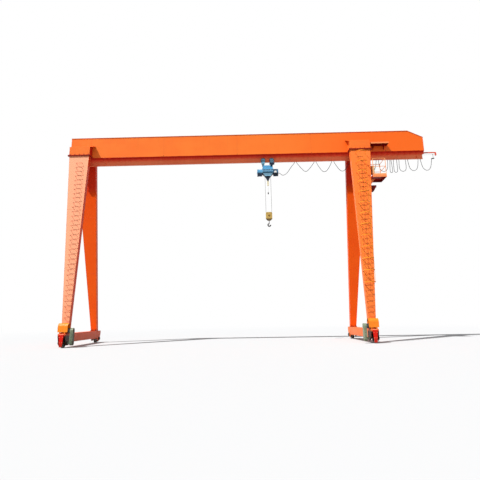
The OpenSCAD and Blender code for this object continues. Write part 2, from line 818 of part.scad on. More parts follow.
// The same shell seen along Y: sloped shoulders, and a lower part that narrows to the rope guide
function housing_front(w) = let (half = housing_x / 2 - w) [[60 - half, housing_top], [-half, housing_ridge],
    [-half, drum_z - 40], [w - guide_half, housing_floor], [guide_half - w, housing_floor], [half, drum_z - 40],
    [half, housing_ridge], [half - 60, housing_top]];

module housing_shell(w) {
    intersection() {
        along_x([hoist_x - housing_x / 2, hoist_x + housing_x / 2], housing_outline(w));
        translate([hoist_x, 0, 0]) along_y([-housing_x, housing_x], housing_front(w));
    }
}

module drum_housing() {
    x0 = hoist_x - housing_x / 2;
    x1 = hoist_x + housing_x / 2;
    color("steelblue") framed() {
        difference() {
            housing_shell(0);
            housing_shell(10);
            block([hoist_x - fall_offset - 60, hoist_x + fall_offset + 60], [-40, 40],
                [housing_floor - 1, drum_z - drum_r + 20]);
        }
        bar_x([x0 + 9, x1 - 9], 0, drum_z, drum_r);
        for (k = [-1, 1], e = [-1, 1]) end_of(e) difference() {
            block([hoist_x + k * plate_x - 60, hoist_x + k * plate_x + 60], [trolley_y - 22, trolley_y - 2],
                [housing_top - 4, hanger_z + 45]);
            bar_y(hoist_x + k * plate_x, [0, trolley_y], hanger_z, hanger_r + near_gap);
        }
    }
}

// Round casing of the gears, at the left end of the drum
module gear_casing() {
    x1 = hoist_x - housing_x / 2;
    color("royalblue") framed() {
        bar_x([x1 - casing_length, x1], 0, drum_z, casing_r - 10);
        bar_x([x1 - casing_length + 30, x1 - casing_length + 70], 0, drum_z, casing_r);
    }
}

// Motor at the right end of the drum, with its fan cover and its terminal box
module hoist_motor() {
    x0 = hoist_x + housing_x / 2;
    x1 = x0 + casing_length;
    color("steelblue") framed() {
        bar_x([x0, x1 - 70], 0, drum_z, casing_r - 15);
        bar_x([x1 - 70, x1], 0, drum_z, casing_r);
        block([x0 + 80, x1 - 40], [150, cable_y + 30], [drum_z + 50, drum_z + 150]);
        bar_x([x1 - 41, lead_start[0]], cable_y, drum_z + 100, cable_r + 8);
    }
}

// Dark wedge below the housing that keeps the two falls of rope apart
module rope_guide() {
    color("darkslategray") framed() translate([hoist_x, 0, 0]) along_y([-60, 60],
        [[-guide_half, housing_floor], [-30, guide_z], [30, guide_z], [guide_half, housing_floor]]);
}

module guide_block() {
    color("khaki") framed() block([hoist_x - 60, hoist_x + 60], [-50, 50], [guide_z - guide_block_h, guide_z]);
}

// Small weight of the upper limit switch, on its thin wire
module limit_weight() {
    z1 = guide_z - guide_block_h;
    z0 = cheek_top + 1275;
    h = 110;
    color("black") framed() translate([hoist_x, 0, 0]) {
        translate([0, 0, z0]) cylinder(h = h, r = 38);
        translate([0, 0, z0 + h - 1]) cylinder(h = z1 - z0 - h + 1, r = 4);
    }
}

// Two falls of rope, from the drum's underside to the sheave
module hoist_ropes() {
    color("gray") framed() for (k = [-1, 1]) translate([hoist_x + k * fall_offset, 0, sheave_z])
        cylinder(h = drum_z - drum_r - near_gap - sheave_z, r = rope_r);
}

// Hook block: two cheeks joined by the sheave's axle, and the crosshead that carries the hook
module block_cheeks() {
    w = block_width / 2;
    t = 15;
    r = 60;
    z = cheek_bottom + 60;
    color("goldenrod") framed() translate([hoist_x, 0, 0]) {
        for (e = [-1, 1]) end_of(e) difference() {
            union() {
                along_y([32, 32 + t], [[2 * r - w, cheek_bottom], [w - 2 * r, cheek_bottom],
                    [w, cheek_bottom + 2 * r], [w, cheek_top - r], [w - r, cheek_top], [r - w, cheek_top],
                    [-w, cheek_top - r], [-w, cheek_bottom + 2 * r]]);
                bar_y(0, [32 + t - 1, 32 + t + 20], sheave_z, 60);
            }
            bar_y(0, [0, 100], z, 30 + near_gap);
        }
        bar_y(0, [-33, 33], sheave_z, 30);
        for (k = [-1, 1]) block([k * (w - 90) - 20, k * (w - 90) + 20], [-33, 33],
            [cheek_bottom + 50, cheek_bottom + 90]);
        difference() {
            union() {
                bar_y(0, [-47, 47], z, 30);
                block([-55, 55], [-31, 31], [z - 35, z + 35]);
            }
            translate([0, 0, z - 60]) cylinder(h = 120, r = shank_r + run_gap);
        }
    }
}

module block_sheave() {
    root = fall_offset - rope_r - near_gap;
    lip = fall_offset + 8;
    g = rope_r + 1.5;
    color("dimgray") framed() translate([hoist_x, 0, sheave_z]) rotate([90, 0, 0])
        rotate_extrude($fn = 96) polygon([[30 + run_gap, -24], [60, -24], [60, -14], [root - 20, -14],
            [lip, -24], [lip, -g - 2], [root, -g], [root, g], [lip, g + 2], [lip, 24], [root - 20, 14],
            [60, 14], [60, 24], [30 + run_gap, 24]]);
}

// Hook with its shank and nut, free to turn about the vertical
module hook() {
    z = cheek_bottom + 60;
    eye = 88;
    bar = 41;
    zc = z - 360;
    color("dimgray") framed() translate([hoist_x, 0, 0]) {
        translate([0, 0, zc + eye]) cylinder(h = z + 60 - zc - eye, r = shank_r);
        translate([0, 0, z + 35 + near_gap]) cylinder(h = 30, r = 30);
        translate([0, 0, zc]) rotate([90, 0, 0]) rotate([0, 0, 90]) rotate_extrude(angle = 270)
            translate([eye, 0]) circle(r = bar);
        translate([-eye, 0, zc]) sphere(r = bar);
    }
}

top_plate();
girder_webs();
end_plates();
taper_plates();
track_beam();
saddle_brackets();
near_legs();
far_legs();
leg_flanges();
ground_beams();
wheel_near_left();
wheel_near_right();
wheel_far_left();
wheel_far_right();
axle_housings();
end_guards();
travel_gearboxes();
travel_motors();
motor_hoods();
leg_rungs();
ladder_cage();
platform();
platform_railing();
electric_box();
signal_box();
festoon_arm();
festoon_wire();
festoon_carriers();
festoon_cable();
trolley_plates();
trolley_motor();
trolley_wheel_nl();
trolley_wheel_nr();
trolley_wheel_fl();
trolley_wheel_fr();
drum_housing();
gear_casing();
hoist_motor();
rope_guide();
guide_block();
limit_weight();
hoist_ropes();
block_cheeks();
block_sheave();
hook();
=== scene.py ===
"""Dresses the gantry crane: weathered paint, steel and rope, and the small steelwork on its plates."""

import logging
import math
from dataclasses import dataclass
from enum import Enum

import bmesh
import bpy
from mathutils import Matrix, Vector


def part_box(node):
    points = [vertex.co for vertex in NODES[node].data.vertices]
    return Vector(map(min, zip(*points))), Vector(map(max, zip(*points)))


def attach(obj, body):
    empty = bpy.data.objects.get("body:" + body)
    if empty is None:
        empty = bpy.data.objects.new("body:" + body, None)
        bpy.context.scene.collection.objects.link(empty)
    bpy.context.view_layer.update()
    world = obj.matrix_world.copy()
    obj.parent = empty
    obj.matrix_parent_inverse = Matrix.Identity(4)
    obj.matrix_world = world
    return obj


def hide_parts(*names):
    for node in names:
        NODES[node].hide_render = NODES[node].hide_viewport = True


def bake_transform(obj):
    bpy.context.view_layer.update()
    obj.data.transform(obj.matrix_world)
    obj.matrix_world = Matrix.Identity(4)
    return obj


Point = tuple[float, float, float]
Colour = tuple[int, int, int]

LOG = logging.getLogger("crane")
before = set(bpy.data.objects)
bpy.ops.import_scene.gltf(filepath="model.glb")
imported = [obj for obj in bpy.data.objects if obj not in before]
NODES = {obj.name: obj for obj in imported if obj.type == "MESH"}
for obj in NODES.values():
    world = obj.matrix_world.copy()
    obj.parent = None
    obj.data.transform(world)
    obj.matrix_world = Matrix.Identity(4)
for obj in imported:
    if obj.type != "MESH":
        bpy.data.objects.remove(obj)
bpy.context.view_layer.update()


# Places, in metres. Lengths along the girder are counted from the middle of the span.

SPAN_MIDDLE = -2.39
RAIL = 9.0

# Both ends or sides of the crane, and its four corners.

ENDS = (-1, 1)
CORNERS = [(side, end) for side in ENDS for end in ENDS]


def along(x: float) -> float:
    """Turns a length from the middle of the span into the frame's x."""
    return x + SPAN_MIDDLE


HOIST_X = along(3.33)


def linear(colour: Colour) -> tuple[float, float, float, float]:
    """Turns a screen colour into the linear one that shaders take.

    Args:
        colour: Red, green and blue from 0 to 255.

    Returns:
        The linear colour, with full alpha.
    """
    parts = [c / 255 for c in colour]
    lit = [c / 12.92 if c <= 0.04045 else ((c + 0.055) / 1.055) ** 2.4 for c in parts]
    return (*lit, 1.0)


# Finishes


class Graph:
    """Node tree of one finish, on Object coordinates."""

    def __init__(self, name: str) -> None:
        """Starts a material with its shader.

        Args:
            name: Name of the material.
        """
        self.material = bpy.data.materials.new(name)
        self.material.use_nodes = True
        self.tree = self.material.node_tree
        self.shader = self.tree.nodes["Principled BSDF"]
        coordinates = self.tree.nodes.new("ShaderNodeTexCoord")
        self.place = coordinates.outputs["Object"]
        self.outward = coordinates.outputs["Normal"]

    def link(self, source: bpy.types.NodeSocket, target: bpy.types.NodeSocket) -> None:
        """Joins two sockets."""
        self.tree.links.new(source, target)

    def noise(self, scale: Point, detail: float = 4.0, rough: float = 0.55) -> bpy.types.NodeSocket:
        """Adds noise with its own scale along each axis.

        Args:
            scale: Repeats per metre along x, y and z.
            detail: Octaves of the noise.
            rough: Weight of the finer octaves.

        Returns:
            The noise's value.
        """
        mapping = self.tree.nodes.new("ShaderNodeMapping")
        mapping.inputs["Scale"].default_value = scale
        self.link(self.place, mapping.inputs["Vector"])
        noise = self.tree.nodes.new("ShaderNodeTexNoise")
        noise.inputs["Scale"].default_value = 1.0
        noise.inputs["Detail"].default_value = detail
        noise.inputs["Roughness"].default_value = rough
        self.link(mapping.outputs["Vector"], noise.inputs["Vector"])
        return noise.outputs["Fac"]

    def axis(self, name: str) -> bpy.types.NodeSocket:
        """Gives one Object coordinate, named X, Y or Z."""
        parts = self.tree.nodes.new("ShaderNodeSeparateXYZ")
        self.link(self.place, parts.inputs["Vector"])
        return parts.outputs[name]

    def facing(self, way: Point, low: float, high: float) -> bpy.types.NodeSocket:
        """Gives 1 where the surface looks in a direction of the piece, and 0 where it doesn't.

        Args:
            way: Direction, of length 1.
            low: Cosine of the angle where the share starts.
            high: Cosine of the angle where it is full.

        Returns:
            The share.
        """
        dot = self.tree.nodes.new("ShaderNodeVectorMath")
        dot.operation = "DOT_PRODUCT"
        self.link(self.outward, dot.inputs[0])
        dot.inputs[1].default_value = way
        return self.band(dot.outputs["Value"], low, high)

    def band(self, value: bpy.types.NodeSocket, low: float, high: float, out: tuple[float, float] = (0.0, 1.0)
             ) -> bpy.types.NodeSocket:
        """Maps a stretch of values onto another, held at both ends.

        Args:
            value: Value to map.
            low: Start of the stretch.
            high: End of the stretch.
            out: What the two ends become.

        Returns:
            The mapped value.
        """
        node = self.tree.nodes.new("ShaderNodeMapRange")
        node.interpolation_type = "SMOOTHSTEP"
        self.link(value, node.inputs["Value"])
        for name, number in (("From Min", low), ("From Max", high), ("To Min", out[0]), ("To Max", out[1])):
            node.inputs[name].default_value = number
        return node.outputs["Result"]

    def times(self, one: bpy.types.NodeSocket, other: bpy.types.NodeSocket) -> bpy.types.NodeSocket:
        """Multiplies two values."""
        node = self.tree.nodes.new("ShaderNodeMath")
        node.operation = "MULTIPLY"
        self.link(one, node.inputs[0])
        self.link(other, node.inputs[1])
        return node.outputs[0]

    def mix(self, share: bpy.types.NodeSocket, base: Colour | bpy.types.NodeSocket, over: Colour
            ) -> bpy.types.NodeSocket:
        """Lays one colour over another.

        Args:
            share: How much of the upper colour shows.
            base: Lower colour, or a socket that holds it.
            over: Upper colour.

        Returns:
            The mixed colour.
        """
        node = self.tree.nodes.new("ShaderNodeMix")
        node.data_type = "RGBA"
        self.link(share, node.inputs[0])
        if isinstance(base, tuple):
            node.inputs[6].default_value = linear(base)
        else:
            self.link(base, node.inputs[6])
        node.inputs[7].default_value = linear(over)
        return node.outputs[2]

    def bump(self, height: bpy.types.NodeSocket, strength: float, distance: float) -> None:
        """Raises the surface by a value, on top of the bumps added before.

        Args:
            height: Value that raises the surface.
            strength: Strength of the bump.
            distance: Height of the bump in metres.
        """
        node = self.tree.nodes.new("ShaderNodeBump")
        node.inputs["Strength"].default_value = strength
        node.inputs["Distance"].default_value = distance
        self.link(height, node.inputs["Height"])
        if self.shader.inputs["Normal"].is_linked:
            self.link(self.shader.inputs["Normal"].links[0].from_socket, node.inputs["Normal"])
        self.link(node.outputs["Normal"], self.shader.inputs["Normal"])


class Axis(Enum):
    """Direction in which a finish fades or changes."""

    NONE = ""
    LENGTH = "X"
    WIDTH = "Y"
    HEIGHT = "Z"


@dataclass(frozen=True)
class Finish:
    """Weathered surface: two tones, rain streaks, dust near the ground, chips of rust and a fine grain.

    Attributes:
        name: Name of the material.
        colour: Main colour.
        second: Tone that clouds the main colour.
        grime: Colour of the streaks and the dust.
        rust: Colour of the chips.
        streaks: How strong the rain streaks are.
        chips: Share of the surface that has chipped, from 0 to 1.
        dust: Height up to which dust lies, in metres.
        rough: Roughness at the smoothest and the dullest places.
        metal: How metallic the surface is.
        coat: Gloss of a clear coat.
        shine: Level of the plain reflection.
        grain: Repeats per metre of the fine bump.
        depth: Height of the fine bump, in metres.
        tone: Colour at the far end of a change along an axis.
        tone_axis: Axis of that change.
        tone_span: Where the change starts and ends.
        front: Colour of painted light on the faces that look to the front and the left, towards the sun:
            a lit tone and painted glare on the near legs, painted shade inside the landing's rims.
            The change along the axis is then theirs alone.
        under: Colour of painted shade on the faces that look down or away from the sun.
        under_way: Direction in which those faces look.
        under_span: Cosines of the angles to it where that painted shade starts and is full.
        drive_shade: Colour of the painted shade on the near ends of the ground beams, under the drives.
        drive_shade_span: Where that painted shade starts and is full, along the rails.
    """

    name: str
    colour: Colour
    second: Colour
    grime: Colour = (96, 52, 32)
    rust: Colour = (104, 50, 28)
    streaks: float = 0.25
    chips: float = 0.1
    dust: float = 0.0
    rough: tuple[float, float] = (0.34, 0.55)
    metal: float = 0.0
    coat: float = 0.0
    shine: float = 0.3
    grain: float = 60.0
    depth: float = 0.0015
    tone: Colour = (0, 0, 0)
    tone_axis: Axis = Axis.NONE
    tone_span: tuple[float, float] = (0.0, 1.0)
    front: Colour | None = None
    under: Colour | None = None
    under_way: Point = (0.6, 0.0, -0.8)
    under_span: tuple[float, float] = (0.35, 0.55)
    drive_shade: Colour | None = None
    drive_shade_span: tuple[float, float] = (-2.2, -2.4)

    def material(self) -> bpy.types.Material:
        """Makes the material, or gives the one made before."""
        return bpy.data.materials.get(self.name) or self._build()

    def _build(self) -> bpy.types.Material:
        """Builds the nodes of the material."""
        graph = Graph(self.name)
        colour = graph.mix(graph.band(graph.noise((0.7, 1.4, 0.7)), 0.35, 0.7), self.colour, self.second)
        # Faces towards the sun take the front colour: painted glare on the near legs, painted shade on the
        # landing.
        near = None
        if self.front is not None:
            near = graph.facing((-0.6, -0.8, 0.0), 0.3, 0.55)
            colour = graph.mix(near, colour, self.front)
        # A change along an axis; in several finishes it is a painted shadow, shade or glare.
        if self.tone_axis is not Axis.NONE:
            share = graph.band(graph.axis(self.tone_axis.value), *self.tone_span)
            colour = graph.mix(graph.times(share, near) if near else share, colour, self.tone)
        # Faces that look down or away from the sun take painted shade.
        if self.under is not None:
            colour = graph.mix(graph.facing(self.under_way, *self.under_span), colour, self.under)
        # Painted shade on the near ends of the ground beams, under the hoods and gearboxes, mottled by noise.
        if self.drive_shade is not None:
            low = graph.band(graph.axis("Z"), 0.78, 0.62)
            reach = graph.times(graph.band(graph.axis("Y"), *self.drive_shade_span), low)
            spots = graph.band(graph.noise((5.0, 5.0, 5.0)), 0.2, 0.5, (0.6, 1.0))
            colour = graph.mix(graph.times(reach, spots), colour, self.drive_shade)
        streak = graph.noise((9.0, 9.0, 0.45), 5.0, 0.6)
        patch = graph.noise((1.1, 1.1, 0.5), 2.0)
        wash = graph.times(graph.band(streak, 0.5, 0.72, (0.0, self.streaks)), graph.band(patch, 0.4, 0.62))
        colour = graph.mix(wash, colour, self.grime)
        if self.dust > 0.0:
            low = graph.band(graph.axis("Z"), 0.0, self.dust, (0.75, 0.0))
            cloud = graph.band(graph.noise((2.5, 2.5, 2.5)), 0.25, 0.75)
            colour = graph.mix(graph.times(low, cloud), colour, self.grime)
        edge = (0.74 - 0.14 * self.chips, 0.76 - 0.12 * self.chips)
        chip = graph.band(graph.noise((26.0, 26.0, 26.0), 6.0, 0.7), *edge)
        chip = graph.times(chip, graph.band(graph.noise((1.7, 1.7, 1.7), 2.0), 0.45, 0.6))
        colour = graph.mix(chip, colour, self.rust)
        shader = graph.shader
        graph.link(colour, shader.inputs["Base Color"])
        dull = graph.band(graph.noise((14.0, 14.0, 5.0)), 0.3, 0.7, self.rough)
        graph.link(dull, shader.inputs["Roughness"])
        shader.inputs["Metallic"].default_value = self.metal
        shader.inputs["Specular IOR Level"].default_value = self.shine
        shader.inputs["Coat Weight"].default_value = self.coat
        shader.inputs["Coat Roughness"].default_value = 0.25
        graph.bump(graph.noise((self.grain,) * 3, 3.0), 0.35, self.depth)
        graph.bump(chip, 0.4, 0.0008)
        return graph.material


BOX_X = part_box("electric_box")[1].x
# Painted shade: faces that look down or to the right, away from the sun, are painted deep red.
ORANGE_UNDER_SHADE = Finish("Girder orange", (254, 126, 42), (252, 118, 38), streaks=0.05, chips=0.03, depth=0.002,
                tone=(252, 108, 26), tone_axis=Axis.LENGTH, tone_span=(1.0, 9.0), shine=0.2,
                under=(206, 40, 18))
# Painted shade: the flange plate at the foot of the brackets is painted dark red, and faces that look down or
# to the right take a deep red too.
BRACKET_SHADE_ORANGE = Finish("Bracket orange", (252, 126, 46), (250, 118, 42), streaks=0.05, chips=0.03, depth=0.002,
                shine=0.2, tone=(150, 24, 6), tone_axis=Axis.HEIGHT, tone_span=(12.604, 12.598),
                under=(200, 36, 18))
# Painted light: the base is the shaded tone of the side faces, faces towards the sun take a lit tone, and on
# the left leg a pale painted glare. The dust near the ground is real.
NEAR_LEG_GLARE_SHADE = Finish("Leg orange", (236, 70, 20), (228, 62, 18), streaks=0.06, chips=0.04, dust=4.2, shine=0.12,
             grime=(236, 112, 66), front=(252, 128, 56), tone=(255, 170, 130), tone_axis=Axis.LENGTH,
             tone_span=(-4.0, -9.5))
# Painted shadow: above about 10 m the far legs are painted the deep red of the girder's shadow.
FAR_LEG_GIRDER_SHADOW = Finish("Far leg orange", (255, 96, 14), (252, 90, 12), streaks=0.06, chips=0.04, dust=0.9,
                 shine=0.15, tone=(226, 58, 28), tone_axis=Axis.HEIGHT, tone_span=(10.0, 10.8))
# Painted shade: the inclined plates and their stiffeners are painted dark red at the top, just under the webs.
TAPER_SHADE_RED = Finish("Underside red", (250, 92, 60), (240, 82, 52), streaks=0.12, chips=0.04, depth=0.002,
                   shine=0.1, tone=(206, 32, 12), tone_axis=Axis.HEIGHT, tone_span=(12.4, 12.5))
ARM = Finish("Arm red", (228, 92, 66), (212, 80, 56), streaks=0.12, chips=0.1)
# Painted shade: a dark red for the shaded leg flanges, for the ribs' shadows and for the shade under the motor
# hoods.
FLANGE_SHADE_RED = Finish("Flange red", (150, 24, 6), (134, 20, 6), streaks=0.12, chips=0.1, shine=0.15)
TRACK = Finish("Track orange brown", (255, 140, 94), (250, 128, 84), streaks=0.2, chips=0.15, shine=0.15,
               grime=(140, 58, 36))
# The rain streaks and dust are real dirt; the redder tone of the left beam is painted shade on its inner face,
# and the near ends carry painted shade under the drives.
BEAM_DUST_AND_SHADE = Finish("Ground beam orange", (255, 128, 62), (248, 116, 52), streaks=0.16, chips=0.12, dust=0.7,
              shine=0.15, grime=(176, 90, 56), tone=(240, 98, 54), tone_axis=Axis.LENGTH,
              tone_span=(-4.0, -9.5), drive_shade=(46, 24, 20))
HOOD = Finish("Hood yellow orange", (255, 146, 26), (250, 134, 22), streaks=0.12, chips=0.08, coat=0.1)
YELLOW = Finish("Cage yellow", (252, 150, 34), (244, 132, 26), streaks=0.1, chips=0.15)
# Painted shade: the rungs are painted dark for the shade of the cage and their own shadows; on the left leg
# they are lighter for its painted glare.
RUNG_SHADE_GLARE = Finish("Rung brown", (116, 30, 12), (96, 24, 12), streaks=0.1, chips=0.2, shine=0.1,
              tone=(160, 76, 50), tone_axis=Axis.LENGTH, tone_span=(-4.0, -9.5))
RAILING = Finish("Railing pale orange", (255, 178, 118), (250, 164, 100), streaks=0.1, chips=0.15)
SADDLE_BOLT = Finish("Saddle bolt red", (170, 40, 16), (140, 30, 14), streaks=0.1, chips=0.2)
RED = Finish("Guard red", (222, 28, 14), (204, 22, 12), streaks=0.15, chips=0.2, dust=0.4, shine=0.15)
# Painted highlight: the guards' sloped caps, lips and bolts are painted pink for the light on the caps.
GUARD_CAP_HIGHLIGHT = Finish("Guard cap pink", (250, 150, 116), (240, 132, 98), streaks=0.1, chips=0.1)
MAROON = Finish("Signal box maroon", (112, 12, 14), (96, 8, 14), streaks=0.15, chips=0.1, shine=0.15)
# Painted light and shade: faces towards the front and left are painted dark red for the shade inside the rims,
# the near edge pale orange for its lit strip, and faces that look down dark red.
LANDING_LIT_SHADED = Finish("Landing orange", (254, 126, 42), (252, 118, 38), streaks=0.05, chips=0.03, depth=0.002,
                 shine=0.1, front=(130, 20, 12), tone=(255, 150, 92), tone_axis=Axis.WIDTH,
                 tone_span=(-0.6, -0.8), under=(140, 18, 12), under_way=(-0.6, 0.0, -0.8))
# Painted shade: faces that look to the right, away from the sun, are painted dark; the streaks and dust are
# real dirt.
GEARBOX_GREEN_SHADE = Finish("Gearbox grey green", (142, 152, 126), (116, 134, 112), streaks=0.35, chips=0.3, dust=0.5,
               shine=0.2, grime=(58, 60, 48), under=(74, 66, 48), under_way=(1.0, 0.0, 0.0),
               under_span=(0.2, 0.7))
MOTOR = Finish("Motor grey", (96, 108, 112), (80, 90, 94), streaks=0.25, chips=0.2, grime=(52, 48, 44))
# Painted shade: faces that look down are painted dark navy.
BLUE_UNDER_SHADE = Finish("Hoist blue", (84, 158, 200), (64, 138, 184), streaks=0.25, chips=0.12, grime=(30, 52, 70),
              coat=0.3, under=(20, 44, 74), under_way=(0.0, 0.0, -1.0))
# Painted light: below the ridge the housing is painted a pale blue for the light on its lower panel, and faces
# that look down are painted near black for their shade.
HOUSING_LIGHT_SHADE = Finish("Housing blue", (72, 148, 192), (58, 132, 178), streaks=0.2, chips=0.1, grime=(30, 52, 70),
                 coat=0.3, tone=(148, 206, 238), tone_axis=Axis.HEIGHT, tone_span=(11.45, 11.43),
                 under=(12, 26, 46), under_way=(0.0, 0.0, -1.0), under_span=(0.3, 0.5))
# Painted shade: the casing is painted darker towards its underside, dark navy below.
CASING_SHADE = Finish("Gear casing blue", (92, 160, 198), (76, 142, 182), streaks=0.25, chips=0.12,
                grime=(20, 36, 50), coat=0.2, under=(22, 44, 72), under_way=(0.0, 0.0, -1.0),
                under_span=(0.0, 0.5))
# Painted shade: faces that look down are painted near black.
MOTOR_BLUE_SHADE = Finish("Motor blue", (60, 106, 140), (46, 88, 122), streaks=0.25, chips=0.12, grime=(20, 36, 50),
                    coat=0.2, under=(10, 20, 36), under_way=(0.0, 0.0, -1.0), under_span=(0.15, 0.5))
# Painted light: a paler copy of the hoist blue, for the trolley plates that sit in the girder's shade.
PLATE_BLUE_LIT = Finish("Trolley plate blue", (140, 200, 228), (112, 176, 208), streaks=0.3, chips=0.15,
                    grime=(20, 36, 50), coat=0.2)
# Painted shadow: this dark teal strip stands for the shadow under the housing's ledges.
LEDGE_SHADOW_TEAL = Finish("Ledge shadow teal", (34, 96, 128), (26, 80, 110), streaks=0.2, chips=0.1)
GUIDE = Finish("Rope guide navy", (34, 54, 78), (26, 42, 62), streaks=0.3, chips=0.2)
# Painted shadow: the left part of the switch box is painted brown for the leg's shadow; the streaks are real
# dirt.
CREAM_LEG_SHADOW = Finish("Switch box cream", (222, 208, 170), (206, 190, 150), streaks=0.35, chips=0.1,
               grime=(128, 96, 66), tone=(156, 96, 56), tone_axis=Axis.LENGTH,
               tone_span=(BOX_X - 0.06, BOX_X - 0.16))
PALE = Finish("Guide block cream", (246, 236, 200), (236, 222, 180), streaks=0.25, chips=0.1)
WHITE = Finish("Bare white plate", (240, 240, 236), (226, 226, 222), streaks=0.15, chips=0.04)
BLOCK = Finish("Hook block yellow", (204, 172, 92), (186, 150, 74), streaks=0.35, chips=0.25,
               grime=(84, 62, 34), tone=(98, 78, 40), tone_axis=Axis.HEIGHT, tone_span=(8.12, 7.98), coat=0.2)
BRIGHT = Finish("Bright steel", (150, 148, 144), (122, 120, 116), streaks=0.2, chips=0.15, metal=0.85,
                rough=(0.25, 0.5), depth=0.0006)
WHEEL = Finish("Wheel steel", (104, 96, 88), (78, 70, 64), streaks=0.3, chips=0.5, metal=0.6,
               rough=(0.35, 0.6))
DARK = Finish("Dark steel", (62, 60, 60), (48, 46, 46), streaks=0.2, chips=0.3, metal=0.4, rough=(0.4, 0.65))
BOLT = Finish("Bolt steel", (96, 56, 40), (72, 44, 34), streaks=0.1, chips=0.5, metal=0.3, rough=(0.4, 0.65),
              depth=0.0004)
ROPE = Finish("Wire rope", (108, 108, 106), (84, 84, 82), streaks=0.1, chips=0.1, metal=0.55,
              rough=(0.35, 0.6), grain=180.0, depth=0.001)
CABLE = Finish("Cable rubber", (34, 37, 44), (28, 30, 36), streaks=0.0, chips=0.0, rough=(0.5, 0.7),
               grain=120.0, depth=0.0006)
BLACK = Finish("Limit weight black", (30, 30, 32), (24, 24, 26), streaks=0.1, chips=0.2)
HOLE = Finish("Hole black", (20, 14, 12), (14, 10, 9), streaks=0.0, chips=0.0, rough=(0.7, 0.9))
WELD = Finish("Painted weld", (236, 98, 28), (220, 86, 24), streaks=0.05, chips=0.05, grain=140.0,
              depth=0.003)


# Mesh making


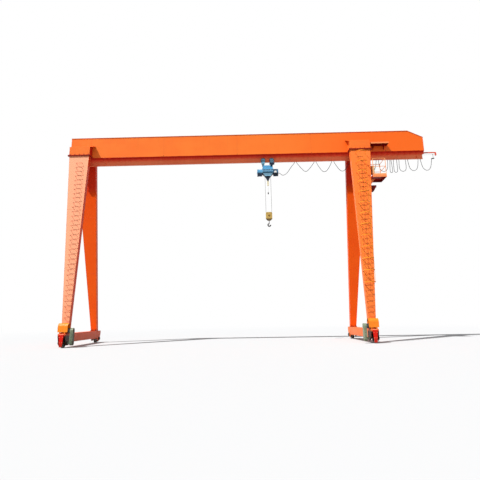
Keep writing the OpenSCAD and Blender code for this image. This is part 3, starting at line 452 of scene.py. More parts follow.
class Shape:
    """Mesh of one piece while it is being made."""

    def __init__(self) -> None:
        """Starts with nothing."""
        self.bm = bmesh.new()

    def block(self, one: Point, other: Point, bevel: float = 0.0) -> None:
        """Adds a box.

        Args:
            one: A corner.
            other: The corner across from it.
            bevel: Width of its bevelled edges.
        """
        a = Vector([min(pair) for pair in zip(one, other)])
        b = Vector([max(pair) for pair in zip(one, other)])
        place = Matrix.Translation((a + b) / 2) @ Matrix.Diagonal((*(b - a), 1.0))
        corners = bmesh.ops.create_cube(self.bm, size=1.0, matrix=place)["verts"]
        if bevel > 0.0:
            edges = list({edge for corner in corners for edge in corner.link_edges})
            bmesh.ops.bevel(self.bm, geom=edges, offset=bevel, segments=1, profile=0.5, affect="EDGES",
                            material=-1)

    def rod(self, start: Point, end: Point, radius: float, sides: int = 12) -> None:
        """Adds a round bar.

        Args:
            start: Middle of its first end.
            end: Middle of its other end.
            radius: Radius of the bar.
            sides: Number of flats.
        """
        a, b = Vector(start), Vector(end)
        turn = (b - a).to_track_quat("Z", "Y").to_matrix().to_4x4()
        bmesh.ops.create_cone(self.bm, cap_ends=True, segments=sides, radius1=radius, radius2=radius,
                              depth=(b - a).length, matrix=Matrix.Translation((a + b) / 2) @ turn)

    def bead(self, start: Point, end: Point, radius: float = 0.006) -> None:
        """Adds a thin bar, such as a weld bead."""
        self.rod(start, end, radius, 8)

    def lathe(self, profile: list[tuple[float, float]], at: Point, axis: Point, sides: int = 32,
              sweep: float = 360.0, first: Point = (0.0, 0.0, 1.0)) -> None:
        """Spins a profile round an axis.

        Args:
            profile: Radius and place along the axis of each point.
            at: Where the axis starts.
            axis: Direction of the axis.
            sides: Steps of the spin.
            sweep: Angle of the spin in degrees.
            first: Direction of the profile's first place, across the axis.
        """
        line, out, centre = Vector(axis).normalized(), Vector(first), Vector(at)
        if abs(line.dot(out)) > 0.99:
            out = Vector((1.0, 0.0, 0.0))
        corners = [self.bm.verts.new(centre + line * z + out * r) for r, z in profile]
        edges = [self.bm.edges.new(pair) for pair in zip(corners, corners[1:])]
        bmesh.ops.spin(self.bm, geom=corners + edges, cent=centre, axis=line, angle=math.radians(sweep),
                       steps=sides, use_merge=sweep >= 360.0)

    def ring(self, inner: float, outer: float, height: float, at: Point, axis: Point, sides: int,
             sweep: float = 360.0, first: Point = (0.0, 0.0, 1.0)) -> None:
        """Adds a flat ring or a part of one.

        Args:
            inner: Inner radius.
            outer: Outer radius.
            height: How far it stands out.
            at: Middle of its seat.
            axis: Direction in which it stands out.
            sides: Steps of the spin.
            sweep: Angle of the spin in degrees.
            first: Direction of its start, across the axis.
        """
        profile = [(inner, 0.0), (outer, 0.0), (outer, height), (inner, height), (inner, 0.0)]
        self.lathe(profile, at, axis, sides, sweep, first)

    def plate(self, outline: list[Point], push: Point) -> None:
        """Adds a flat plate.

        Args:
            outline: Corners of one face, in order.
            push: Thickness, as a vector.
        """
        face = self.bm.faces.new([self.bm.verts.new(corner) for corner in outline])
        grown = bmesh.ops.extrude_face_region(self.bm, geom=[face])["geom"]
        moved = [part for part in grown if isinstance(part, bmesh.types.BMVert)]
        bmesh.ops.translate(self.bm, verts=moved, vec=push)

    def fin(self, ends: tuple[float, float], centre: tuple[float, float], radii: tuple[float, float],
            degrees: float, thickness: float) -> None:
        """Adds a cooling fin to a motor that lies along x.

        Args:
            ends: Where the fin starts and ends, along x.
            centre: The motor's middle in y and z.
            radii: Radii of the fin's root and edge.
            degrees: Its angle round the motor.
            thickness: Its thickness.
        """
        y, z = math.cos(math.radians(degrees)), math.sin(math.radians(degrees))
        corners = ((0, 0), (1, 0), (1, 1), (0, 1))
        self.plate([(ends[i], centre[0] + radii[j] * y, centre[1] + radii[j] * z) for i, j in corners],
                   (0.0, -thickness * z, thickness * y))

    def bolt(self, at: Point, axis: Point, size: float) -> None:
        """Adds a hexagon head on its washer.

        Args:
            at: Middle of the seat.
            axis: Direction in which the head stands out.
            size: Width of the head.
        """
        seat, out = Vector(at), Vector(axis).normalized()
        self.rod(seat - out * 0.002, seat + out * size * 0.12, size * 0.95, 12)
        self.rod(seat, seat + out * size * 0.65, size * 0.58, 6)

    def ring_of_bolts(self, centre: Point, axis: Point, radius: float, count: int, size: float,
                      start: float = 0.0) -> None:
        """Adds bolts in a circle.

        Args:
            centre: Middle of the circle.
            axis: Direction in which the heads stand out.
            radius: Radius of the circle.
            count: Number of bolts.
            size: Width of a head.
            start: Angle of the first bolt in degrees.
        """
        out = Vector(axis).normalized()
        side = out.orthogonal().normalized()
        for i in range(count):
            turned = Matrix.Rotation(math.radians(start + 360.0 * i / count), 3, out) @ side
            self.bolt(Vector(centre) + turned * radius, out, size)

    def skin(self, places: list[Matrix], radius: float, sides: int, pinch: float = 1.0) -> None:
        """Lays a skin with closed ends over a row of circles.

        Args:
            places: Place and turn of each circle.
            radius: Radius of the circles.
            sides: Corners of each circle.
            pinch: What every other corner's radius is scaled by, for the strands of a rope.
        """
        previous: list[bmesh.types.BMEdge] = []
        for i, place in enumerate(places):
            ring = bmesh.ops.create_circle(self.bm, cap_ends=i in (0, len(places) - 1), radius=radius,
                                           segments=sides, matrix=place)["verts"]
            if pinch < 1.0:
                bmesh.ops.scale(self.bm, verts=ring[::2], vec=(pinch, pinch, 1.0),
                                space=Matrix.Translation(-place.translation))
            inside = set(ring)
            around = {edge for corner in ring for edge in corner.link_edges}
            edges = [edge for edge in around if all(corner in inside for corner in edge.verts)]
            if previous:
                bmesh.ops.bridge_loops(self.bm, edges=previous + edges)
            previous = edges

    def tube(self, path: list[Vector], radius: float, sides: int = 10) -> None:
        """Adds a round tube with closed ends along a path.

        Args:
            path: Points of its centreline.
            radius: Radius of the tube.
            sides: Number of flats.
        """
        places = []
        for i, point in enumerate(path):
            ahead = (path[min(i + 1, len(path) - 1)] - path[max(i - 1, 0)]).normalized()
            across = Vector((0.0, 1.0, 0.0)) if abs(ahead.y) < 0.9 else Vector((1.0, 0.0, 0.0))
            other = ahead.cross(across).normalized()
            across = other.cross(ahead)
            turn = Matrix((across, other, ahead)).transposed().to_4x4()
            places.append(Matrix.Translation(point) @ turn)
        self.skin(places, radius, sides)

    def finish(self, name: str, finish: Finish, body: str | None, slot: str, angle: float = 35.0
               ) -> bpy.types.Object:
        """Makes the piece's object, dresses it and lets it ride on its body.

        Args:
            name: Name of the piece.
            finish: Its finish.
            body: Body that it rides on, or None to leave it unattached.
            slot: Material slot of the record; not used.
            angle: Edges sharper than this stay sharp, in degrees.

        Returns:
            The object.
        """
        bmesh.ops.recalc_face_normals(self.bm, faces=self.bm.faces)
        mesh = bpy.data.meshes.new(name)
        self.bm.to_mesh(mesh)
        self.bm.free()
        mesh.polygons.foreach_set("use_smooth", [True] * len(mesh.polygons))
        mesh.set_sharp_from_angle(angle=math.radians(angle))
        mesh.materials.append(finish.material())
        piece = bpy.data.objects.new(name, mesh)
        bpy.context.scene.collection.objects.link(piece)
        if body is not None:
            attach(piece, body)
        LOG.info("%s: %d faces", name, len(mesh.polygons))
        return piece


def dress(finish: Finish, *nodes: str) -> None:
    """Gives CAD nodes their finish.

    Args:
        finish: Finish that they get.
        nodes: Names of the nodes.
    """
    for node in nodes:
        materials = NODES[node].data.materials
        materials.clear()
        materials.append(finish.material())
        LOG.info("%s: %s", node, finish.name)


# Camera, light and floor


@dataclass
class Studio:
    """Camera where the photographer stood, a sun from the left front, a pale sky and a pale floor."""

    camera_place: Point = (along(1.9347), -29.3115, 1.5646)
    yaw: float = -0.01956
    pitch: float = 0.23028
    roll: float = -0.016407
    lens: float = 33.184
    shift: float = -0.0552
    sun_from: Point = (-0.487, -0.38, 0.787)
    sun_strength: float = 4.35
    fill_from: Point = (0.1, -0.95, 0.3)
    fill_strength: float = 0.25
    sky_strength: float = 0.34
    floor_size: float = 400.0

    def camera(self) -> None:
        """Makes the scene's camera."""
        data = bpy.data.cameras.new("Camera")
        data.lens = self.lens
        data.sensor_width = 36.0
        data.shift_y = self.shift
        data.clip_end = 600.0
        cos_pitch = math.cos(self.pitch)
        ahead = Vector((math.sin(self.yaw) * cos_pitch, math.cos(self.yaw) * cos_pitch, math.sin(self.pitch)))
        level = Vector((math.cos(self.yaw), -math.sin(self.yaw), 0.0))
        up = level.cross(ahead)
        right = level * math.cos(self.roll) + up * math.sin(self.roll)
        up = up * math.cos(self.roll) - level * math.sin(self.roll)
        camera = bpy.data.objects.new("Camera", data)
        turn = Matrix((right, up, -ahead)).transposed().to_4x4()
        camera.matrix_world = Matrix.Translation(self.camera_place) @ turn
        bpy.context.scene.collection.objects.link(camera)
        bpy.context.scene.camera = camera

    def lamp(self, name: str, place: Point, strength: float, angle: float) -> None:
        """Makes one far light.

        Args:
            name: Name of the light.
            place: Direction from which it shines.
            strength: Strength of the light.
            angle: Its width in the sky, in degrees.
        """
        data = bpy.data.lights.new(name, "SUN")
        data.energy = strength
        data.angle = math.radians(angle)
        lamp = bpy.data.objects.new(name, data)
        lamp.matrix_world = Vector(place).to_track_quat("Z", "Y").to_matrix().to_4x4()
        bpy.context.scene.collection.objects.link(lamp)

    def light(self) -> None:
        """Makes the sun, a soft light from the front and the sky, which looks white behind the crane."""
        self.lamp("Sun", self.sun_from, self.sun_strength, 1.2)
        self.lamp("Fill", self.fill_from, self.fill_strength, 60.0)
        world = bpy.data.worlds.new("Sky")
        bpy.context.scene.world = world
        world.use_nodes = True
        tree = world.node_tree
        sky = tree.nodes["Background"]
        sky.inputs["Color"].default_value = (0.94, 0.97, 1.0, 1.0)
        sky.inputs["Strength"].default_value = self.sky_strength
        white = tree.nodes.new("ShaderNodeBackground")
        white.inputs["Color"].default_value = (1.0, 1.0, 1.0, 1.0)
        white.inputs["Strength"].default_value = 1.0
        pick = tree.nodes.new("ShaderNodeMixShader")
        tree.links.new(seen(tree), pick.inputs[0])
        tree.links.new(sky.outputs[0], pick.inputs[1])
        tree.links.new(white.outputs[0], pick.inputs[2])
        tree.links.new(pick.outputs[0], tree.nodes["World Output"].inputs[0])

    def floor(self) -> None:
        """Makes the floor, which fades into the white behind it and keeps the crane's shadow."""
        shape = bmesh.new()
        bmesh.ops.create_grid(shape, x_segments=1, y_segments=1, size=self.floor_size / 2)
        mesh = bpy.data.meshes.new("Floor")
        shape.to_mesh(mesh)
        shape.free()
        graph = Graph("Floor")
        graph.shader.inputs["Specular IOR Level"].default_value = 0.0
        graph.shader.inputs["Roughness"].default_value = 0.9
        tree = graph.tree
        colour = graph.mix(seen(tree), (158, 156, 152), (214, 214, 214))
        graph.link(colour, graph.shader.inputs["Base Color"])
        far = tree.nodes.new("ShaderNodeVectorMath")
        far.operation = "LENGTH"
        graph.link(graph.place, far.inputs[0])
        share = graph.times(graph.band(far.outputs["Value"], 16.0, 60.0), seen(tree))
        white = tree.nodes.new("ShaderNodeEmission")
        white.inputs["Color"].default_value = (1.0, 1.0, 1.0, 1.0)
        white.inputs["Strength"].default_value = 1.0
        pick = tree.nodes.new("ShaderNodeMixShader")
        graph.link(share, pick.inputs[0])
        graph.link(graph.shader.outputs[0], pick.inputs[1])
        graph.link(white.outputs[0], pick.inputs[2])
        graph.link(pick.outputs[0], tree.nodes["Material Output"].inputs[0])
        mesh.materials.append(graph.material)
        floor = bpy.data.objects.new("Floor", mesh)
        bpy.context.scene.collection.objects.link(floor)

    def build(self) -> None:
        """Sets up the whole studio."""
        bpy.context.scene.view_settings.view_transform = "Standard"
        self.camera()
        self.light()
        self.floor()


def seen(tree: bpy.types.NodeTree) -> bpy.types.NodeSocket:
    """Gives 1 for rays that the camera sees directly, in a mirror or through glass.

    Args:
        tree: Node tree that gets the nodes.

    Returns:
        The value's socket.
    """
    path = tree.nodes.new("ShaderNodeLightPath")
    total = path.outputs["Is Camera Ray"]
    for name in ("Is Glossy Ray", "Is Transmission Ray"):
        node = tree.nodes.new("ShaderNodeMath")
        node.operation = "MAXIMUM"
        tree.links.new(total, node.inputs[0])
        tree.links.new(path.outputs[name], node.inputs[1])
        total = node.outputs[0]
    return total


# Power supply


@dataclass
class Festoon:
    """Arm, wire, carriers and the hanging cable."""

    carriers: tuple[float, ...] = (5.34, 6.72, 7.96, 9.24, 10.15, 11.09, 11.89, 12.13, 12.52, 13.13, 14.02,
                                   14.96)
    wire_y: float = 0.3
    cable_y: float = 0.42
    wire_z: float = 12.46
    clamp_z: float = 12.19
    cable_r: float = 0.016
    exit_side: float = 0.08
    clamp_half: float = 0.1
    exit_drop: float = 0.06
    bend: float = 0.26
    tightest: float = 0.09
    loop_length: float = 1.99
    lead_x: float = 4.1
    lead_z: float = 11.395
    fixed_x: float = 14.98
    far_stretch: float = 600.0

    def share(self, x: float) -> float:
        """Args:
            x: Length from the middle of the span.
        """
        moved = min(max((self.fixed_x - x) / (self.fixed_x - self.lead_x), 0.0), 1.0)
        return 0.5 - math.sin(math.asin(1.0 - 2.0 * moved) / 3.0)

    def follow(self, piece: bpy.types.Object) -> None:
        """Bakes a piece's place into its mesh.

        Args:
            piece: Piece whose place is baked.
        """
        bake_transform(piece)

    def route(self, corners: list[Point], per_stretch: int) -> list[Vector]:
        """Draws a smooth line through the route's points.

        Args:
            corners: Points that the line passes, lengths from the middle of the span.
            per_stretch: Steps between two of them.

        Returns:
            Points of the line in the frame.
        """
        knots = [Vector((along(x), y, z)) for x, y, z in corners]
        line = [knots[0]]
        for i in range(len(knots) - 1):
            before = knots[max(i - 1, 0)]
            a, b = knots[i], knots[i + 1]
            after = knots[min(i + 2, len(knots) - 1)]
            reach = (b - a).length
            go_in = (b - before).normalized() * reach
            go_out = (after - a).normalized() * reach
            for k in range(1, per_stretch + 1):
                t = k / per_stretch
                line.append(a * (2 * t**3 - 3 * t**2 + 1) + go_in * (t**3 - 2 * t**2 + t)
                            + b * (3 * t**2 - 2 * t**3) + go_out * (t**3 - t**2))
        return line

    def loop(self, x0: float, x1: float) -> list[Point]:
        """Gives the route of one loop between two carriers.

        Args:
            x0: Where it leaves the left carrier.
            x1: Where it enters the right carrier.

        Returns:
            Points of the route, lengths from the middle of the span.
        """
        radius = max(min(self.bend, (x1 - x0) / 2), self.tightest)
        straight = (self.loop_length - 2 * self.exit_drop - math.pi * radius) / 2
        middle = (x0 + x1) / 2
        depth = math.sqrt(straight**2 - ((x1 - x0) / 2 - radius) ** 2)
        round_z = self.clamp_z - self.exit_drop - depth
        turns = [math.radians(degrees) for degrees in (20, 90, 160)]
        low = [(middle - radius * math.cos(turn), self.cable_y, round_z - radius * math.sin(turn))
               for turn in turns]
        return [(x0, self.cable_y, self.clamp_z), (x0, self.cable_y, self.clamp_z - self.exit_drop), *low,
                (x1, self.cable_y, self.clamp_z - self.exit_drop), (x1, self.cable_y, self.clamp_z)]

    def cable(self, name: str, corners: list[Point], per_stretch: int) -> None:
        """Args:
            name: Name of the piece.
            corners: Its route, lengths from the middle of the span.
            per_stretch: Steps between two points of the route.
        """
        line = self.route(corners, per_stretch)
        shape = Shape()
        shape.tube(line, self.cable_r)
        piece = shape.finish(name, CABLE, None, "cable_black", 60.0)
        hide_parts("festoon_cable")
        self.follow(piece)

    def cables(self) -> None:
        """Makes the lead from the hoist and the loops between the carriers."""
        start = Vector((self.lead_x, self.cable_y, self.lead_z))
        end = Vector((self.carriers[0] - self.exit_side, self.cable_y, self.clamp_z))
        steps = ((0.0, 0.0), (0.07, 0.0), (0.32, -0.16), (0.6, 0.0), (0.93, 0.45))
        lead = [tuple(start + Vector((x, 0.0, z))) for x, z in steps]
        self.cable("festoon_lead", [*lead, tuple(end - Vector((0.0, 0.0, self.exit_drop))), tuple(end)], 5)
        for i, (a, b) in enumerate(zip(self.carriers, self.carriers[1:])):
            self.cable(f"festoon_loop_{i + 1}", self.loop(a + self.exit_side, b - self.exit_side), 5)

    def carrier(self, index: int, x: float) -> None:
        """Makes one carrier: a roller box on the wire, its hanger and the clamp of the cable.

        Args:
            index: Number of the carrier.
            x: Its place, from the middle of the span.
        """
        cx, wire_y, wire_z, clamp_z = along(x), self.wire_y, self.wire_z, self.clamp_z
        shape = Shape()
        for side in ENDS:
            y, roller_x, roller_z = wire_y + side * 0.017, cx + side * 0.013, wire_z + 0.011
            shape.block((cx - 0.024, y - 0.002, wire_z - 0.019), (cx + 0.024, y + 0.002, wire_z + 0.019), 0.001)
            shape.rod((roller_x, wire_y - 0.015, roller_z), (roller_x, wire_y + 0.015, roller_z), 0.006, 10)
        shape.block((cx - 0.024, wire_y - 0.019, wire_z - 0.02), (cx + 0.024, wire_y + 0.019, wire_z - 0.016))
        shape.block((cx - 0.01, wire_y - 0.003, clamp_z), (cx + 0.01, wire_y + 0.003, wire_z - 0.016))
        left, right, back = cx - self.clamp_half + 0.001, cx + self.clamp_half - 0.001, self.cable_y + 0.021
        shape.block((left, wire_y - 0.004, clamp_z + 0.014), (right, back, clamp_z + 0.03), 0.002)
        shape.block((left, self.cable_y - 0.02, clamp_z), (right, back, clamp_z + 0.012), 0.002)
        for side in ENDS:
            spot = (cx + side * 0.05, self.cable_y - 0.03)
            shape.rod((*spot, clamp_z + 0.004), (*spot, clamp_z + 0.032), 0.004, 6)
        piece = shape.finish(f"festoon_carrier_{index}", DARK, None, "dark_steel")
        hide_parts("festoon_carriers")
        self.follow(piece)

    def build(self) -> None:
        """Builds the power supply."""
        self.cables()
        for i, x in enumerate(self.carriers):
            self.carrier(i + 1, x)
        dress(ARM, "festoon_arm")
        dress(BRIGHT, "festoon_wire")
        end = along(15.2)
        shape = Shape()
        gussets = ((14.121, 14.42, 0.351, 12.55, 0.01), (14.125, 14.45, 0.38, 12.45, 0.012))
        for root, tip, y, low, thickness in gussets:
            corners = [(along(root), y, low), (along(root), y, 12.61), (along(tip), y, 12.61)]
            shape.plate(corners, (0.0, thickness, 0.0))
        for x in (-0.3, -0.75):
            shape.bolt((end + x, 0.41, 12.645), (0, 1, 0), 0.026)
        shape.rod((end - 0.1, 0.3, 12.46), (end - 0.06, 0.3, 12.46), 0.014, 8)
        shape.finish("festoon_arm_gusset", ARM, "frame", "orange_paint")


# Girder and saddles


@dataclass
class Girder:
    """Box girder with its hoist track."""

    left: float = -10.42
    right: float = 14.12
    half_width: float = 0.35
    web_bottom: float = 12.55
    top: float = 14.03
    nose_length: float = 1.03
    nose_drop: float = 0.5
    track_top: float = 12.38
    seat: float = 0.075
    stiffener_pitch: float = 0.39
    hole_z: float = 12.6
    seams: tuple[float, ...] = (-9.0, -3.89, 1.24, 6.37, 11.5)

    def stiffeners(self) -> None:
        """Small plates under the inclined plates."""
        for side, name, reach in ((-1, "near", 0.334), (1, "far", 0.24)):
            shape = Shape()
            edge = self.web_bottom - (self.half_width - reach) * 0.17 / 0.275
            root = self.seat + 0.002
            outline = [(reach, edge - 0.001), (root, self.track_top), (root, self.track_top - 0.016),
                       (self.seat + 0.05, self.track_top - 0.03), (reach, edge - 0.05)]
            count = int((self.right - self.left - 0.4) / self.stiffener_pitch) + 1
            for i in range(count):
                x = along(self.left + 0.25 + i * self.stiffener_pitch)
                shape.plate([(x, side * y, z) for y, z in outline], (0.01, 0.0, 0.0))
            # Painted shade: the stiffeners take the dark red painted at the top of the inclined plates.
            shape.finish(f"taper_stiffeners_{name}", TAPER_SHADE_RED, "frame", "orange_paint")

    def welds(self) -> None:
        """Weld beads along the webs and at the butt joints of their plates."""
        shape = Shape()
        left, right = along(self.left), along(self.right)
        slope = right - self.nose_length
        low, high = self.web_bottom, self.top - 0.014
        runs = [((left, low + 0.002), (right, low + 0.002), 0.006), ((left, high), (slope, high), 0.005),
                ((slope, high), (right, high - self.nose_drop), 0.005)]
        runs += [((along(x), low), (along(x), self.top - 0.015), 0.0045) for x in self.seams]
        runs += [((x, low), (x, self.top - drop), 0.005)
                 for x, drop in ((left + 0.01, 0.015), (right - 0.01, 0.52))]
        for side in ENDS:
            y = side * (self.half_width + 0.001)
            for (x0, z0), (x1, z1), radius in runs:
                shape.bead((x0, y, z0), (x1, y, z1), radius)
        shape.finish("web_welds", WELD, "frame", "orange_paint")

    def drain_holes(self) -> None:
        """Dark drain holes low on the webs beside the butt joints."""
        shape = Shape()
        for side in ENDS:
            y = side * self.half_width
            for x in [along(seam) for seam in self.seams]:
                shape.rod((x, y - side * 0.002, self.hole_z), (x, y + side * 0.0015, self.hole_z), 0.024, 16)
        shape.finish("drain_holes", HOLE, "frame", "dark_steel")

    def stop_bolts(self) -> None:
        """Bolts that hold the trolley stops."""
        shape = Shape()
        for x, way in ((-8.02, 1), (13.7, -1)):
            for side in ENDS:
                for z in (12.12, 12.22):
                    shape.bolt((along(x - way * 0.02), side * 0.05, z), (-way, 0, 0), 0.024)
        shape.finish("track_stop_bolts", BOLT, "frame", "dark_steel")

    def build(self) -> None:
        """Dresses the girder and adds its small steelwork."""
        dress(ORANGE_UNDER_SHADE, "top_plate", "girder_webs", "end_plates")
        # The inclined plates carry painted shade at their top, under the webs.
        dress(TAPER_SHADE_RED, "taper_plates")
        dress(TRACK, "track_beam")
        self.stiffeners()
        self.welds()
        self.drain_holes()
        self.stop_bolts()


@dataclass
class Saddles:
    """Brackets on the webs with their bolted flanges."""

    inner: float = 8.91
    outer: float = 10.31
    reach: float = 0.855
    flange_top: float = 12.6
    flange_t: float = 0.025
    web: float = 0.35
    front_height: float = 0.605
    back_height: float = 0.82

    def bolts(self) -> None:
        """Bolts with long threads through each pair of flanges."""
        shape = Shape()
        low = self.flange_top - 2 * self.flange_t
        spots = [(self.inner + 0.01 + i * 0.172, self.reach + 0.042) for i in range(9)]
        spots += [(x, y) for x in (self.inner - 0.028, self.outer + 0.042)
                  for y in (0.44, 0.64, self.reach + 0.035)]
        for side, end in CORNERS:
            for x, y in spots:
                at = (along(side * x), end * y)
                shape.bolt((*at, self.flange_top), (0, 0, 1), 0.034)
                shape.rod((*at, low - 0.075), (*at, low), 0.014, 8)
                shape.bolt((*at, low), (0, 0, -1), 0.044)
        shape.finish("saddle_bolts", SADDLE_BOLT, "frame", "dark_steel")

    def ribs(self) -> None:
        """Small ribs between each bracket and its flange."""
        shape = Shape()
        root, tip, top = self.reach - 0.001, self.reach + 0.07, self.flange_top
        outline = [(root, top - 0.001), (tip, top - 0.001), (tip, top + 0.02), (root, top + 0.11)]
        for side, end in CORNERS:
            for i in range(5):
                x = along(side * (self.inner + 0.096 + i * 0.302)) - 0.006
                shape.plate([(x, end * y, z) for y, z in outline], (0.012, 0.0, 0.0))
        # Painted shade: the ribs are painted dark red for their shadows.
        shape.finish("saddle_ribs", FLANGE_SHADE_RED, "frame", "orange_paint")

    def welds(self) -> None:
        """Weld beads round the brackets."""
        shape = Shape()
        level = self.flange_top + 0.003
        back, front = self.flange_top + self.back_height - 0.01, self.flange_top + self.front_height - 0.012
        for side, end in CORNERS:
            y, web_y = end * self.reach, end * (self.web + 0.002)
            inner, outer = along(side * self.inner), along(side * self.outer)
            for x in (inner, outer):
                shape.bead((x, web_y, level), (x, web_y, back))
                shape.bead((x, y, level), (x, web_y, level))
                shape.bead((x, y, level), (x, y, front), 0.005)
            shape.bead((inner, y, level), (outer, y, level))
        shape.finish("saddle_welds", WELD, "frame", "orange_paint")

    def build(self) -> None:
        """Dresses the brackets and bolts them to the legs."""
        dress(BRACKET_SHADE_ORANGE, "saddle_brackets")
        dress(FLANGE_SHADE_RED, "leg_flanges")
        self.bolts()
        self.ribs()
        self.welds()


# Legs, ladders and platform


@dataclass
class Legs:
    """Hollow plate legs with their weld seams and foot bolts."""

    bottom: float = 0.825
    top: float = 12.55
    foot_reach: float = 2.64
    top_reach: float = 0.845
    thickness: float = 0.346
    inner_foot: float = 0.18
    foot_width: float = 0.375
    inner_lean: float = 0.12
    widening: float = 0.975
    seam_heights: tuple[float, ...] = (4.72, 8.6)

    def face(self, z: float) -> float:
        """Gives the distance of the outer face from the girder's middle at a height."""
        lean = (self.foot_reach - self.top_reach) * (z - self.bottom) / (self.top - self.bottom)
        return self.foot_reach - lean

    def edges(self, z: float) -> tuple[float, float]:
        """Gives the inner and the outer edge along the girder at a height."""
        share = (z - self.bottom) / (self.top - self.bottom)
        inner = RAIL - self.inner_foot + self.inner_lean * share
        return inner, inner + self.foot_width + self.widening * share

    def corners(self, side: int, end: int, z: float) -> list[Point]:
        """Gives the four corners of a leg's section.

        Args:
            side: -1 for the left leg pair, 1 for the right.
            end: -1 for the near leg, 1 for the far.
            z: Height of the section.

        Returns:
            The corners in order.
        """
        inner, outer = self.edges(z)
        near, far = self.face(z), self.face(z) - self.thickness
        outline = ((inner, near), (outer, near), (outer, far), (inner, far))
        return [(along(side * x), end * y, z) for x, y in outline]

    def welds(self) -> None:
        """Weld beads along the edges and round the plate joints."""
        for end, name, finish in ((-1, "near", NEAR_LEG_GLARE_SHADE), (1, "far", FAR_LEG_GIRDER_SHADOW)):
            shape = Shape()
            for side in ENDS:
                low, high = (self.corners(side, end, z) for z in (self.bottom + 0.01, self.top - 0.005))
                for a, b in zip(low, high):
                    shape.bead(a, b)
                for z in self.seam_heights:
                    ring = self.corners(side, end, z)
                    for a, b in zip(ring, ring[1:] + ring[:1]):
                        shape.bead(a, b, 0.005)
            shape.finish(f"leg_welds_{name}", finish, "frame", "leg_paint")

    def foot_bolts(self) -> None:
        """Bolts through the foot plates."""
        shape = Shape()
        inner, outer = self.edges(self.bottom)
        y = self.foot_reach - self.thickness - 0.1
        for side, end in CORNERS:
            for x in (inner + 0.02, (inner + outer) / 2, outer - 0.02):
                shape.bolt((along(side * x), end * y, self.bottom), (0, 0, 1), 0.034)
        shape.finish("foot_bolts", BOLT, "frame", "dark_steel")

    def build(self) -> None:
        """Dresses the legs."""
        # The near legs carry painted glare and shade, the far legs the girder's painted shadow.
        dress(NEAR_LEG_GLARE_SHADE, "near_legs")
        dress(FAR_LEG_GIRDER_SHADOW, "far_legs")
        self.welds()
        self.foot_bolts()


